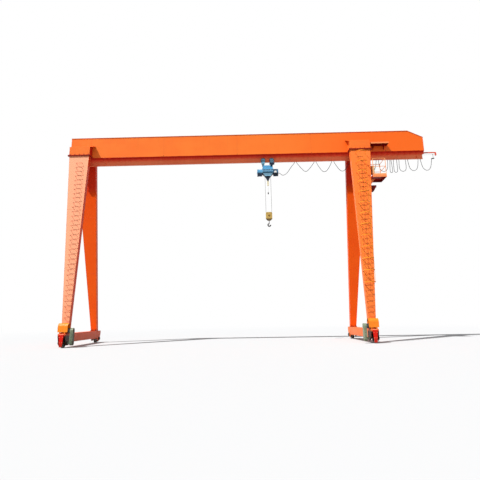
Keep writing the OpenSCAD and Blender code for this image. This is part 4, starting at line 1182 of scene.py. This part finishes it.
@dataclass
class Access:
    """Rungs, safety cage, platform with railing, switch box and signal box."""

    legs: Legs
    floor_z: float = 10.48
    toe_height: float = 0.09
    tread_pitch: float = 0.06
    box_width: float = 0.19
    hoops: int = 13
    hoop_pitch: float = 0.73
    hoop_radius: float = 0.32

    def toe_boards(self) -> None:
        """Upright strips round the platform's floor."""
        low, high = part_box("platform_railing")
        shape = Shape()
        z0, z1 = self.floor_z + 0.001, self.floor_z + self.toe_height
        x, near, far = high.x - 0.012, low.y + 0.012, high.y - 0.012
        shape.block((low.x, near, z0), (x, near + 0.005, z1))
        shape.block((low.x, far - 0.005, z0), (x, far, z1))
        shape.block((x - 0.005, near, z0), (x, far, z1))
        shape.finish("platform_toe_boards", RAILING, "frame", "leg_paint")

    def floor_pattern(self) -> None:
        """Raised bars of the platform's tread plate."""
        low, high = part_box("platform_railing")
        shape = Shape()
        pitch, z = self.tread_pitch, self.floor_z
        for i in range(int((high.x - low.x - 0.04) / pitch)):
            for j in range(int((high.y - low.y - 0.08) / pitch)):
                x, y = low.x + 0.03 + i * pitch, low.y + 0.05 + j * pitch
                lean = 0.012 if (i + j) % 2 else -0.012
                bar = [(x, y, z), (x + 0.004, y, z), (x + 0.004 + lean, y + 0.03, z), (x + lean, y + 0.03, z)]
                shape.plate(bar, (0.0, 0.0, 0.0025))
        shape.finish("platform_tread", ORANGE_UNDER_SHADE, "frame", "orange_paint")

    def switch_box(self) -> None:
        """Door, roof, hinges, handle and glands of the switch box."""
        low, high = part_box("electric_box")
        left, right, face = high.x - self.box_width, high.x, low.y
        door, metal = Shape(), Shape()
        door.block((left + 0.012, face - 0.006, low.z + 0.015),
                   (right - 0.012, face - 0.0005, high.z - 0.015), 0.002)
        door.block((left - 0.005, face - 0.008, high.z - 0.002),
                   (right + 0.008, high.y + 0.005, high.z + 0.006), 0.002)
        # Painted shadow: the door takes the brown of the leg's shadow on the box's left part.
        door.finish("switch_box_door", CREAM_LEG_SHADOW, "frame", "box_cream")
        for z in (low.z + 0.08, high.z - 0.08):
            metal.bead((left + 0.008, face - 0.008, z - 0.025), (left + 0.008, face - 0.008, z + 0.025))
        metal.block((right - 0.04, face - 0.022, low.z + 0.25),
                    (right - 0.028, face - 0.006, low.z + 0.33), 0.003)
        for k in range(4):
            x = left + 0.035 + k * 0.04
            metal.rod((x, face + 0.1, low.z - 0.028), (x, face + 0.1, low.z), 0.013, 10)
        metal.finish("switch_box_fittings", DARK, "frame", "dark_steel")

    def signal_fittings(self) -> None:
        """Mouth and bolts of the signal box."""
        low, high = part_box("signal_box")
        shape = Shape()
        for z in (high.z - 0.05, high.z - 0.12):
            for y, out in ((low.y, -1), (high.y, 1)):
                shape.bolt((low.x + 0.09, y, z), (0, out, 0), 0.018)
        mouth = [(0.0, 0.0), (0.05, 0.0), (0.055, 0.012), (0.03, 0.018), (0.0, 0.018)]
        shape.lathe(mouth, (high.x, (low.y + high.y) / 2, high.z - 0.08), (1, 0, 0), 20)
        shape.finish("signal_box_fittings", DARK, "frame", "dark_steel")

    def cage_bolts(self) -> None:
        """Bolts that join the cage's flats to its hoops."""
        shape = Shape()
        for i in range(self.hoops):
            z = self.legs.top - 0.3 - i * self.hoop_pitch
            middle = along(sum(self.legs.edges(z)) / 2 - 0.035)
            for k in ENDS:
                shape.bolt((middle + k * self.hoop_radius, -self.legs.face(z) - 0.05, z), (k, 0, 0), 0.016)
        shape.finish("cage_bolts", BOLT, "frame", "dark_steel")

    def build(self) -> None:
        """Dresses the ladders and the platform."""
        # The rungs carry painted shade and glare, the landing painted light and shade, and the switch box a
        # painted leg shadow.
        dress(RUNG_SHADE_GLARE, "leg_rungs")
        dress(YELLOW, "ladder_cage")
        dress(RAILING, "platform_railing")
        dress(LANDING_LIT_SHADED, "platform")
        dress(CREAM_LEG_SHADOW, "electric_box")
        dress(MAROON, "signal_box")
        self.toe_boards()
        self.floor_pattern()
        self.switch_box()
        self.signal_fittings()
        self.cage_bolts()


# Ground beams and travel drives


@dataclass
class Undercarriage:
    """Ground beams, rail wheels, guards and travel drives."""

    wheel_y: float = 2.8
    wheel_z: float = 0.275
    beam_half: float = 0.22
    housing: float = 0.06
    beam_top: float = 0.8
    guard_y: float = 3.1
    guard_t: float = 0.058
    shaft: float = 8.585
    motor_z: float = 0.965
    gearbox_r: float = 0.15
    gearbox_t: float = 0.17
    motor_r: float = 0.115
    motor_length: float = 0.52
    fin_height: float = 0.014
    hood_start: float = 8.695
    hood_r: float = 0.2
    hood_length: float = 0.58
    hood_rise: float = 0.39

    def bearing_caps(self) -> None:
        """Covers with bolts on the bearing housings, except behind the gearboxes."""
        caps, bolts = Shape(), Shape()
        cover = [(0.0, 0.014), (0.045, 0.014), (0.06, 0.008), (0.074, 0.008), (0.078, 0.0), (0.0, 0.0)]
        collar = [(0.095, 0.0), (0.125, 0.0), (0.125, 0.014), (0.095, 0.016)]
        for side, end in CORNERS:
            for face in ENDS if end > 0 else (1,):
                out = side * face
                y, z = end * self.wheel_y, self.wheel_z
                root = along(side * RAIL) + out * self.beam_half
                x = root + out * self.housing
                caps.lathe(cover, (x, y, z), (out, 0, 0), 28)
                bolts.ring_of_bolts((x + out * 0.008, y, z), (out, 0, 0), 0.066, 6, 0.014)
                caps.lathe(collar, (root, y, z), (out, 0, 0), 28)
                bolts.ring_of_bolts((root + out * 0.014, y, z), (out, 0, 0), 0.112, 6, 0.02, 30)
        caps.finish("bearing_covers", DARK, "frame", "dark_steel")
        bolts.finish("bearing_bolts", BOLT, "frame", "dark_steel")

    def beam_seams(self) -> None:
        """Weld beads of the ground beams."""
        shape = Shape()
        for side, face in CORNERS:
            x = along(side * RAIL) + face * self.beam_half
            for reach, z in ((3.09, self.beam_top - 0.012), (2.46, 0.312)):
                shape.bead((x, -reach, z), (x, reach, z))
            for y in (-2.45, -1.2, 0.0, 1.2, 2.45):
                shape.bead((x, y, 0.31), (x, y, 0.79), 0.005)
        shape.finish("beam_welds", BEAM_DUST_AND_SHADE, "frame", "leg_paint")

    def guard_caps(self) -> None:
        """Sloped caps and stiffening lips of the end guards."""
        shape = Shape()
        for side, end in CORNERS:
            x, y = along(side * RAIL), end * self.guard_y
            tip = y + end * self.guard_t
            left, right = x - 0.138, x + 0.138
            cap = [(left, y, 0.74), (right, y, 0.74), (right, tip, 0.725), (left, tip, 0.725)]
            shape.plate(cap, (0.0, 0.0, 0.03))
            shape.block((x - 0.078, y, 0.05), (x + 0.078, tip, 0.058))
            for z in (0.3, 0.6):
                for k in ENDS:
                    shape.bolt((x + k * (0.05 + z * 0.06), tip + end * 0.002, z), (0, end, 0), 0.02)
        # Painted highlight: the caps are painted pink for the light on their tops.
        shape.finish("guard_caps", GUARD_CAP_HIGHLIGHT, "frame", "red_paint")

    def gearbox_details(self) -> None:
        """Split flange, bolts, ribs and plugs of the travel gearboxes."""
        green, bolts = Shape(), Shape()
        cover = [(0.0, 0.018), (0.05, 0.018), (0.06, 0.006), (0.11, 0.006), (0.118, 0.0), (0.0, 0.0)]
        low, high = self.wheel_z, self.motor_z
        for side in ENDS:
            x = along(side * (self.shaft - self.gearbox_t))
            for z in (low, high):
                green.lathe(cover, (x, -self.wheel_y, z), (-side, 0, 0), 32)
                bolts.ring_of_bolts((x - side * 0.006, -self.wheel_y, z), (-side, 0, 0), 0.09, 6, 0.016)
            middle = along(side * (self.shaft - self.gearbox_t / 2))
            for out in ENDS:
                y = -self.wheel_y + out * self.gearbox_r
                rim = y + out * 0.012
                green.block((middle - 0.012, y, low), (middle + 0.012, rim, high))
                for z in (0.4, 0.6, 0.8):
                    bolts.bolt((middle, rim, z), (0, out, 0), 0.018)
                for x in (middle - 0.05, middle + 0.05):
                    green.block((x - 0.005, y, low + 0.03), (x + 0.005, y + out * 0.01, high - 0.03))
            bolts.bolt((middle + 0.05, -self.wheel_y - self.gearbox_r, 0.33), (0, -1, 0), 0.026)
        # The gearbox covers take painted shade on faces that look to the right.
        green.finish("gearbox_covers", GEARBOX_GREEN_SHADE, "frame", "green_grey_paint")
        bolts.finish("gearbox_bolts", BOLT, "frame", "dark_steel")

    def motor_details(self) -> None:
        """Fins, fan cover and terminal box of the travel motors."""
        fins, dark = Shape(), Shape()
        y, z = -self.wheel_y, self.motor_z
        cover = [(0.118, -0.085), (0.124, -0.08), (0.124, -0.012), (0.116, -0.001), (0.04, 0.0), (0.0, 0.0)]
        for side in ENDS:
            ends = (along(side * (self.shaft + 0.05)), along(side * (self.shaft + self.motor_length - 0.09)))
            radii = (self.motor_r * 0.98, self.motor_r + self.fin_height)
            for degrees in range(0, 360, 18):
                if not 250 < degrees < 290:
                    fins.fin(ends, (y, z), radii, degrees, 0.003)
            end = (along(side * (self.shaft + self.motor_length)), y, z)
            fins.lathe(cover, end, (side, 0, 0), 32)
            for radius in (0.055, 0.075, 0.095):
                dark.ring(radius, radius + 0.008, 0.002, end, (side, 0, 0), 24)
            left = min(ends)
            fins.block((left + 0.1, y - 0.04, z + 0.1), (left + 0.22, y + 0.04, z + 0.155), 0.006)
        fins.finish("travel_motor_fins", MOTOR, "frame", "green_grey_paint")
        dark.finish("travel_motor_vents", HOLE, "frame", "dark_steel")

    def hood_details(self) -> None:
        """Rolled rims, middle strap and foot bolts of the motor hoods, and the bases of the motors."""
        rims, bolts, bases = Shape(), Shape(), Shape()
        centre_y = -self.wheel_y - 0.04
        round_z = self.beam_top + self.hood_rise
        inside, outside = self.hood_r - 0.001, self.hood_r + 0.004
        for side in ENDS:
            base = [along(side * (self.hood_start + reach)) for reach in (0.03, self.hood_length - 0.12)]
            bases.block((base[0], -self.wheel_y - 0.17, self.beam_top + 0.0005),
                        (base[1], -self.wheel_y + 0.14, self.beam_top + 0.068), 0.006)
            for share, back, ahead in ((0.0, 0.0, 0.024), (0.5, -0.02, 0.02), (1.0, -0.024, 0.0)):
                x = along(side * (self.hood_start + self.hood_length * share))
                a, b = sorted((side * back, side * ahead))
                rims.lathe([(inside, a), (outside, a), (outside, b), (inside, b)], (x, centre_y, round_z),
                           (1, 0, 0), 24, 180.0, (0, -1, 0))
                for k in ENDS:
                    edge = centre_y + k * self.hood_r
                    rims.block((x + a, edge, self.beam_top + 0.08), (x + b, edge + k * 0.004, round_z))
            for foot in (-0.15, 0.15):
                for k in ENDS:
                    at = (along(side * (RAIL + foot)), centre_y + k * self.hood_r, self.beam_top + 0.05)
                    bolts.bolt(at, (0, k, 0), 0.02)
        rims.finish("hood_rims", HOOD, "frame", "hood_paint")
        # Painted shade: the motor bases are painted dark red for the shade under the hoods.
        bases.finish("motor_bases", FLANGE_SHADE_RED, "frame", "red_paint")
        bolts.finish("hood_bolts", BOLT, "frame", "dark_steel")

    def wheel_rings(self) -> None:
        """Turned rings on each wheel's web."""
        profile = [(0.12, 0.014), (0.13, 0.02), (0.145, 0.02), (0.155, 0.014)]
        for row, end in (("near", -1), ("far", 1)):
            for col, side in (("left", -1), ("right", 1)):
                shape = Shape()
                at = (along(side * RAIL), end * self.wheel_y, self.wheel_z)
                for face in ENDS:
                    shape.lathe(profile, at, (face, 0, 0), 32)
                shape.finish(f"wheel_ring_{row}_{col}", BRIGHT, f"wheel_{row}_{col}", "bright_steel")

    def build(self) -> None:
        """Dresses the ground beams and the drives."""
        # The ground beams carry real dust and painted shade; the gearboxes carry painted shade on their right
        # faces.
        dress(BEAM_DUST_AND_SHADE, "ground_beams")
        dress(DARK, "axle_housings")
        dress(RED, "end_guards")
        dress(GEARBOX_GREEN_SHADE, "travel_gearboxes")
        dress(MOTOR, "travel_motors")
        dress(HOOD, "motor_hoods")
        dress(WHEEL, "wheel_near_left", "wheel_near_right", "wheel_far_left", "wheel_far_right")
        self.bearing_caps()
        self.beam_seams()
        self.guard_caps()
        self.gearbox_details()
        self.motor_details()
        self.hood_details()
        self.wheel_rings()


# Hoist


@dataclass
class Trolley:
    """Trolley plates, wheels and motor."""

    pitch: float = 0.6
    plate_y: float = 0.112
    axle_z: float = 12.1383
    hanger_z: float = 11.965
    shoe_z: float = 11.822
    motor_y: float = -0.222
    motor_z: float = 11.895

    def plates(self) -> None:
        """Nuts, rims and hanger shoes of the trolley plates."""
        nuts, rims, shoes = Shape(), Shape(), Shape()
        for k, end in CORNERS:
            x, y, out = HOIST_X + k * self.pitch / 2, end * self.plate_y, (0, end, 0)
            nuts.rod((x, y, self.hanger_z), (x, y + end * 0.018, self.hanger_z), 0.034, 6)
            for dx, dz in ((-0.1, 0.05), (0.1, 0.05), (0.0, 0.15)):
                nuts.bolt((x + dx, y, self.axle_z + dz), out, 0.024)
            rims.ring(0.05, 0.062, 0.008, (x, y, self.axle_z), out, 28)
            rims.ring(0.14, 0.164, 0.008, (x, y, self.axle_z + 0.04), out, 40, 300.0, (0.5, 0, -0.866))
            shoes.block((x - 0.064, end * 0.07, self.shoe_z - 0.04),
                        (x + 0.064, end * 0.132, self.shoe_z + 0.04), 0.006)
            shoes.rod((x, end * 0.06, self.shoe_z), (x, end * 0.146, self.shoe_z), 0.022, 12)
        nuts.finish("trolley_nuts", BOLT, "hoist", "dark_steel")
        shoes.finish("hanger_shoes", BLACK, "hoist", "dark_steel")
        rims.finish("trolley_plate_rims", GUIDE, "hoist", "deep_blue")

    def wheels(self) -> None:
        """Caps on the axles of the trolley wheels."""
        profile = [(0.0, 0.012), (0.012, 0.012), (0.024, 0.006), (0.026, 0.0), (0.0, 0.0)]
        for row, end in (("n", -1), ("f", 1)):
            for col, k in (("l", -1), ("r", 1)):
                name = f"trolley_wheel_{row}{col}"
                dress(WHEEL, name)
                cap = Shape()
                at = (HOIST_X + k * self.pitch / 2, end * 0.1222, self.axle_z)
                cap.lathe(profile, at, (0, end, 0), 20)
                cap.finish(f"axle_cap_{row}{col}", BRIGHT, name, "bright_steel")

    def motor(self) -> None:
        """Gear case, fins and end cap of the trolley motor."""
        fins = Shape()
        x, y, z = HOIST_X + self.pitch / 2, self.motor_y, self.motor_z
        fins.block((x - 0.105, -0.3, 11.8), (x + 0.105, -0.15, 11.85), 0.012)
        rib = [(0.084, -0.003), (0.093, -0.003), (0.093, 0.003), (0.084, 0.003)]
        for i in range(9):
            fins.lathe(rib, (x - 0.13 + i * 0.026, y, z), (1, 0, 0), 28)
        fins.lathe([(0.0, 0.006), (0.05, 0.006), (0.078, 0.0), (0.0, 0.0)], (x + 0.17, y, z), (1, 0, 0), 24)
        fins.finish("trolley_motor_fins", GUIDE, "hoist", "dark_steel")

    def build(self) -> None:
        """Dresses the trolley."""
        # Painted light: the trolley plates take a paler blue to make up for the girder's shade.
        dress(PLATE_BLUE_LIT, "trolley_plates")
        dress(GUIDE, "trolley_motor")
        self.plates()
        self.wheels()
        self.motor()


@dataclass
class Hoist:
    """Drum housing, casings, rope guide and the rope on the drum."""

    drum_z: float = 11.295
    half: float = 0.385
    ridge_z: float = 11.445
    ridge_y: float = 0.3
    casing: float = 0.325
    floor_z: float = 11.01
    floor_y: float = 0.19
    guide_z: float = 10.7

    def housing(self) -> None:
        """Straps, ridge strips, ledges and bolts on the housing."""
        strips, bolts, ledge_shadows = Shape(), Shape(), Shape()
        left, right, ridge = HOIST_X - self.half, HOIST_X + self.half, self.ridge_z
        slope = (self.ridge_y - self.floor_y) / (ridge - self.floor_z)
        high, low = (self.ridge_y - slope * (ridge - z) for z in (11.305, 11.215))
        for end in ENDS:
            strips.block((left, end * 0.298, ridge - 0.025), (right, end * 0.312, ridge + 0.025), 0.004)
            for i in range(7):
                bolts.bolt((HOIST_X - 0.33 + i * 0.11, end * 0.312, ridge), (0, end, 0), 0.022)
            for x in (left + 0.055, right - 0.055):
                strap = [(x - 0.012, end * 0.3, ridge), (x + 0.012, end * 0.3, ridge),
                         (x + 0.012, end * 0.151, 11.794), (x - 0.012, end * 0.151, 11.794)]
                strips.plate(strap, (0.0, end * 0.012, 0.006))
            strips.block((left, end * 0.25, 11.29), (right, end * (high + 0.045), 11.305), 0.003)
            # Painted shadow: a dark strip under each ledge stands for its shadow.
            slot = [(left + 0.01, end * (high + 0.001), 11.29), (right - 0.01, end * (high + 0.001), 11.29),
                    (right - 0.06, end * (low + 0.001), 11.215), (left + 0.06, end * (low + 0.001), 11.215)]
            ledge_shadows.plate(slot, (0.0, end * 0.004, 0.0))
        strips.finish("housing_strips", BLUE_UNDER_SHADE, "hoist", "hoist_blue")
        ledge_shadows.finish("housing_ledge_shadows", LEDGE_SHADOW_TEAL, "hoist", "deep_blue")
        bolts.finish("housing_bolts", BOLT, "hoist", "dark_steel")

    def drum_rope(self) -> None:
        """Turns of rope on the drum."""
        shape = Shape()
        turns, pitch, start = 25, 0.024, -0.3
        swell = ((0.153, 0.002), (0.164, 0.007), (0.168, 0.012), (0.164, 0.017), (0.153, 0.022))
        profile = [(0.15, start)]
        profile += [(radius, start + i * pitch + rise) for i in range(turns) for radius, rise in swell]
        profile.append((0.15, 0.301))
        shape.lathe(profile, (HOIST_X, 0.0, self.drum_z), (1, 0, 0), 32)
        shape.finish("drum_rope", ROPE, "hoist", "wire_rope", 60.0)

    def gear_end(self) -> None:
        """Cover, bolts and ribs of the gear casing at the left."""
        shape, bolts = Shape(), Shape()
        at = Vector((HOIST_X - self.half - self.casing, 0.0, self.drum_z))
        cover = [(0.0, 0.03), (0.07, 0.03), (0.09, 0.012), (0.2, 0.008), (0.225, 0.0), (0.0, 0.0)]
        rib = [(0.004, -0.005, 0.09), (0.004, 0.005, 0.09), (0.004, 0.005, 0.2), (0.004, -0.005, 0.2)]
        shape.lathe(cover, tuple(at), (-1, 0, 0), 40)
        for i in range(8):
            turn = Matrix.Rotation(math.radians(45 * i + 22.5), 3, "X")
            shape.plate([tuple(at + turn @ Vector(corner)) for corner in rib], (-0.016, 0.0, 0.0))
        bolts.ring_of_bolts(tuple(at), (-1, 0, 0), 0.232, 12, 0.02)
        for degrees in range(0, 360, 30):
            turn = Matrix.Rotation(math.radians(degrees + 15), 3, "X")
            spot = at + Vector((0.07, 0.0, 0.0)) + turn @ Vector((0.0, 0.0, 0.25))
            bolts.rod(spot - Vector((0.052, 0, 0)), spot + Vector((0.012, 0, 0)), 0.008, 6)
        shape.finish("gear_cover", CASING_SHADE, "hoist", "deep_blue")
        bolts.finish("gear_cover_bolts", BOLT, "hoist", "dark_steel")

    def motor_end(self) -> None:
        """Fins, fan cover, cable gland and blank plate of the hoist motor at the right."""
        shape, dark, plate = Shape(), Shape(), Shape()
        x0 = HOIST_X + self.half
        x1, z = x0 + self.casing, self.drum_z
        for degrees in range(0, 360, 9):
            turn = math.radians(degrees)
            if not (math.cos(turn) > 0.55 and math.sin(turn) > 0.1):
                shape.fin((x0 + 0.01, x1 - 0.075), (0.0, z), (0.238, 0.252), degrees, 0.005)
        fan_cover = [(0.255, -0.002), (0.235, 0.012), (0.1, 0.022), (0.0, 0.024), (0.0, 0.0)]
        shape.lathe(fan_cover, (x1, 0.0, z), (1, 0, 0), 40)
        for radius in (0.11, 0.14, 0.17, 0.2):
            rise = 0.021 - (radius - 0.1) * 0.074
            vent = [(radius, rise - 0.004), (radius + 0.01, rise - 0.004), (radius + 0.01, rise + 0.001),
                    (radius, rise + 0.002), (radius, rise - 0.004)]
            dark.lathe(vent, (x1, 0.0, z), (1, 0, 0), 32)
        for k in range(4):
            dark.bolt((x0 + 0.1 + (k % 2) * 0.165, 0.19 + (k // 2) * 0.22, z + 0.15), (0, 0, 1), 0.014)
        gland = [(0.024, 0.0), (0.034, 0.002), (0.034, 0.026), (0.026, 0.034), (0.018, 0.036)]
        dark.lathe(gland, (x1 - 0.04, 0.42, z + 0.1), (1, 0, 0), 16)
        corners = ((0.055, -0.062), (0.215, -0.062), (0.215, 0.062), (0.055, 0.062))
        plate.plate([(x0 + dx, -0.2545, z + dz) for dx, dz in corners], (0.0, 0.018, 0.0))
        shape.finish("hoist_motor_fins", MOTOR_BLUE_SHADE, "hoist", "hoist_blue")
        dark.finish("hoist_motor_vents", DARK, "hoist", "dark_steel")
        plate.finish("hoist_motor_plate", WHITE, "hoist", "box_cream")

    def guide(self) -> None:
        """Bolts and straps of the rope guide."""
        shape, bolts = Shape(), Shape()
        corners = ((-0.17, 0.005), (0.17, 0.005), (0.14, 0.06), (-0.14, 0.06))
        for end in ENDS:
            shape.plate([(HOIST_X + dx, end * 0.06, self.floor_z - drop) for dx, drop in corners],
                        (0.0, end * 0.008, 0.0))
            for dx in (-0.11, 0.0, 0.11):
                bolts.bolt((HOIST_X + dx, end * 0.068, self.floor_z - 0.032), (0, end, 0), 0.018)
            for drop in (0.05, 0.16, 0.27):
                bolts.bolt((HOIST_X, end * 0.05, self.guide_z - drop), (0, end, 0), 0.02)
        shape.finish("rope_guide_straps", GUIDE, "hoist", "dark_steel")
        bolts.finish("rope_guide_bolts", BOLT, "hoist", "dark_steel")

    def build(self) -> None:
        """Dresses the hoist."""
        # The housing, gear casing and motor carry painted light and shade by facing and height.
        dress(HOUSING_LIGHT_SHADE, "drum_housing")
        dress(CASING_SHADE, "gear_casing")
        dress(MOTOR_BLUE_SHADE, "hoist_motor")
        dress(GUIDE, "rope_guide")
        dress(PALE, "guide_block")
        dress(BLACK, "limit_weight")
        self.housing()
        self.drum_rope()
        self.gear_end()
        self.motor_end()
        self.guide()


@dataclass
class HookBlock:
    """Ropes, cheeks, sheave and hook."""

    sheave_z: float = 8.26
    fall: float = 0.195
    rope_r: float = 0.01
    rope_top: float = 11.1447
    rope_exit: float = 11.01
    lay: float = 0.13
    cheek_top: float = 8.49
    cheek_face: float = 0.047
    eye: float = 0.088
    eye_z: float = 7.6

    def falls(self) -> None:
        """Two falls of stranded rope and the turn under the sheave."""
        steps = 144
        height = self.rope_top - self.sheave_z
        for k, name in ((-1, "left"), (1, "right")):
            shape = Shape()
            x = HOIST_X + k * self.fall
            places = []
            for i in range(steps + 1):
                rise = height * i / steps
                spin = Matrix.Rotation(k * math.tau * rise / self.lay / 6, 4, "Z")
                places.append(Matrix.Translation((x, 0.0, self.sheave_z + rise)) @ spin)
            shape.skin(places, self.rope_r, 12, 0.84)
            piece = shape.finish(f"rope_fall_{name}", ROPE, None, "wire_rope", 60.0)
            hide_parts("hoist_ropes")
            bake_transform(piece)
        turn = Shape()
        angles = [math.pi * i / 24 for i in range(25)]
        turn.tube([Vector((HOIST_X + self.fall * math.cos(a), 0.0, self.sheave_z - self.fall * math.sin(a)))
                   for a in angles], self.rope_r * 0.96, 12)
        turn.finish("rope_turn", ROPE, "hook_block", "wire_rope", 60.0)

    def block_details(self) -> None:
        """Axle nuts, spacer bolts and edge straps of the hook block."""
        bolts, straps = Shape(), Shape()
        for end in ENDS:
            face, nut = end * self.cheek_face, end * 0.067
            bolts.rod((HOIST_X, nut, self.sheave_z), (HOIST_X, end * 0.082, self.sheave_z), 0.034, 6)
            bolts.ring_of_bolts((HOIST_X, nut, self.sheave_z), (0, end, 0), 0.048, 4, 0.013)
            for dx, z in ((-0.125, 7.97), (0.125, 7.97), (-0.15, 8.42), (0.15, 8.42)):
                bolts.bolt((HOIST_X + dx, face, z), (0, end, 0), 0.022)
            for x in (HOIST_X - 0.1, HOIST_X + 0.065):
                straps.block((x, face, 8.2), (x + 0.035, face + end * 0.006, 8.4), 0.002)
        bolts.finish("block_bolts", BOLT, "hook_block", "dark_steel")
        straps.finish("block_straps", BLOCK, "hook_block", "block_yellow")

    def hook_details(self) -> None:
        """Safety latch of the hook."""
        shape = Shape()
        corners = ((-self.eye - 0.006, 0.035), (-self.eye + 0.012, 0.025), (-0.012, 0.132), (-0.03, 0.144))
        shape.plate([(HOIST_X + dx, -0.012, self.eye_z + dz) for dx, dz in corners], (0.0, 0.024, 0.0))
        x, z = HOIST_X - 0.022, self.eye_z + 0.13
        shape.rod((x, -0.03, z), (x, 0.03, z), 0.008, 10)
        shape.finish("hook_latch", BRIGHT, "hook", "bright_steel")

    def build(self) -> None:
        """Dresses the hook block."""
        dress(BLOCK, "block_cheeks")
        dress(DARK, "block_sheave", "hook")
        self.falls()
        self.block_details()
        self.hook_details()


def main() -> None:
    """Builds the crane's parts in order."""
    logging.basicConfig(level=logging.INFO, format="%(name)s %(message)s")
    Studio().build()
    legs = Legs()
    for part in (Festoon(), Girder(), Saddles(), legs, Access(legs), Undercarriage(), Trolley(), Hoist(),
                 HookBlock()):
        part.build()
        LOG.info("%s done", type(part).__name__)


if __name__ == "__main__":
    main()
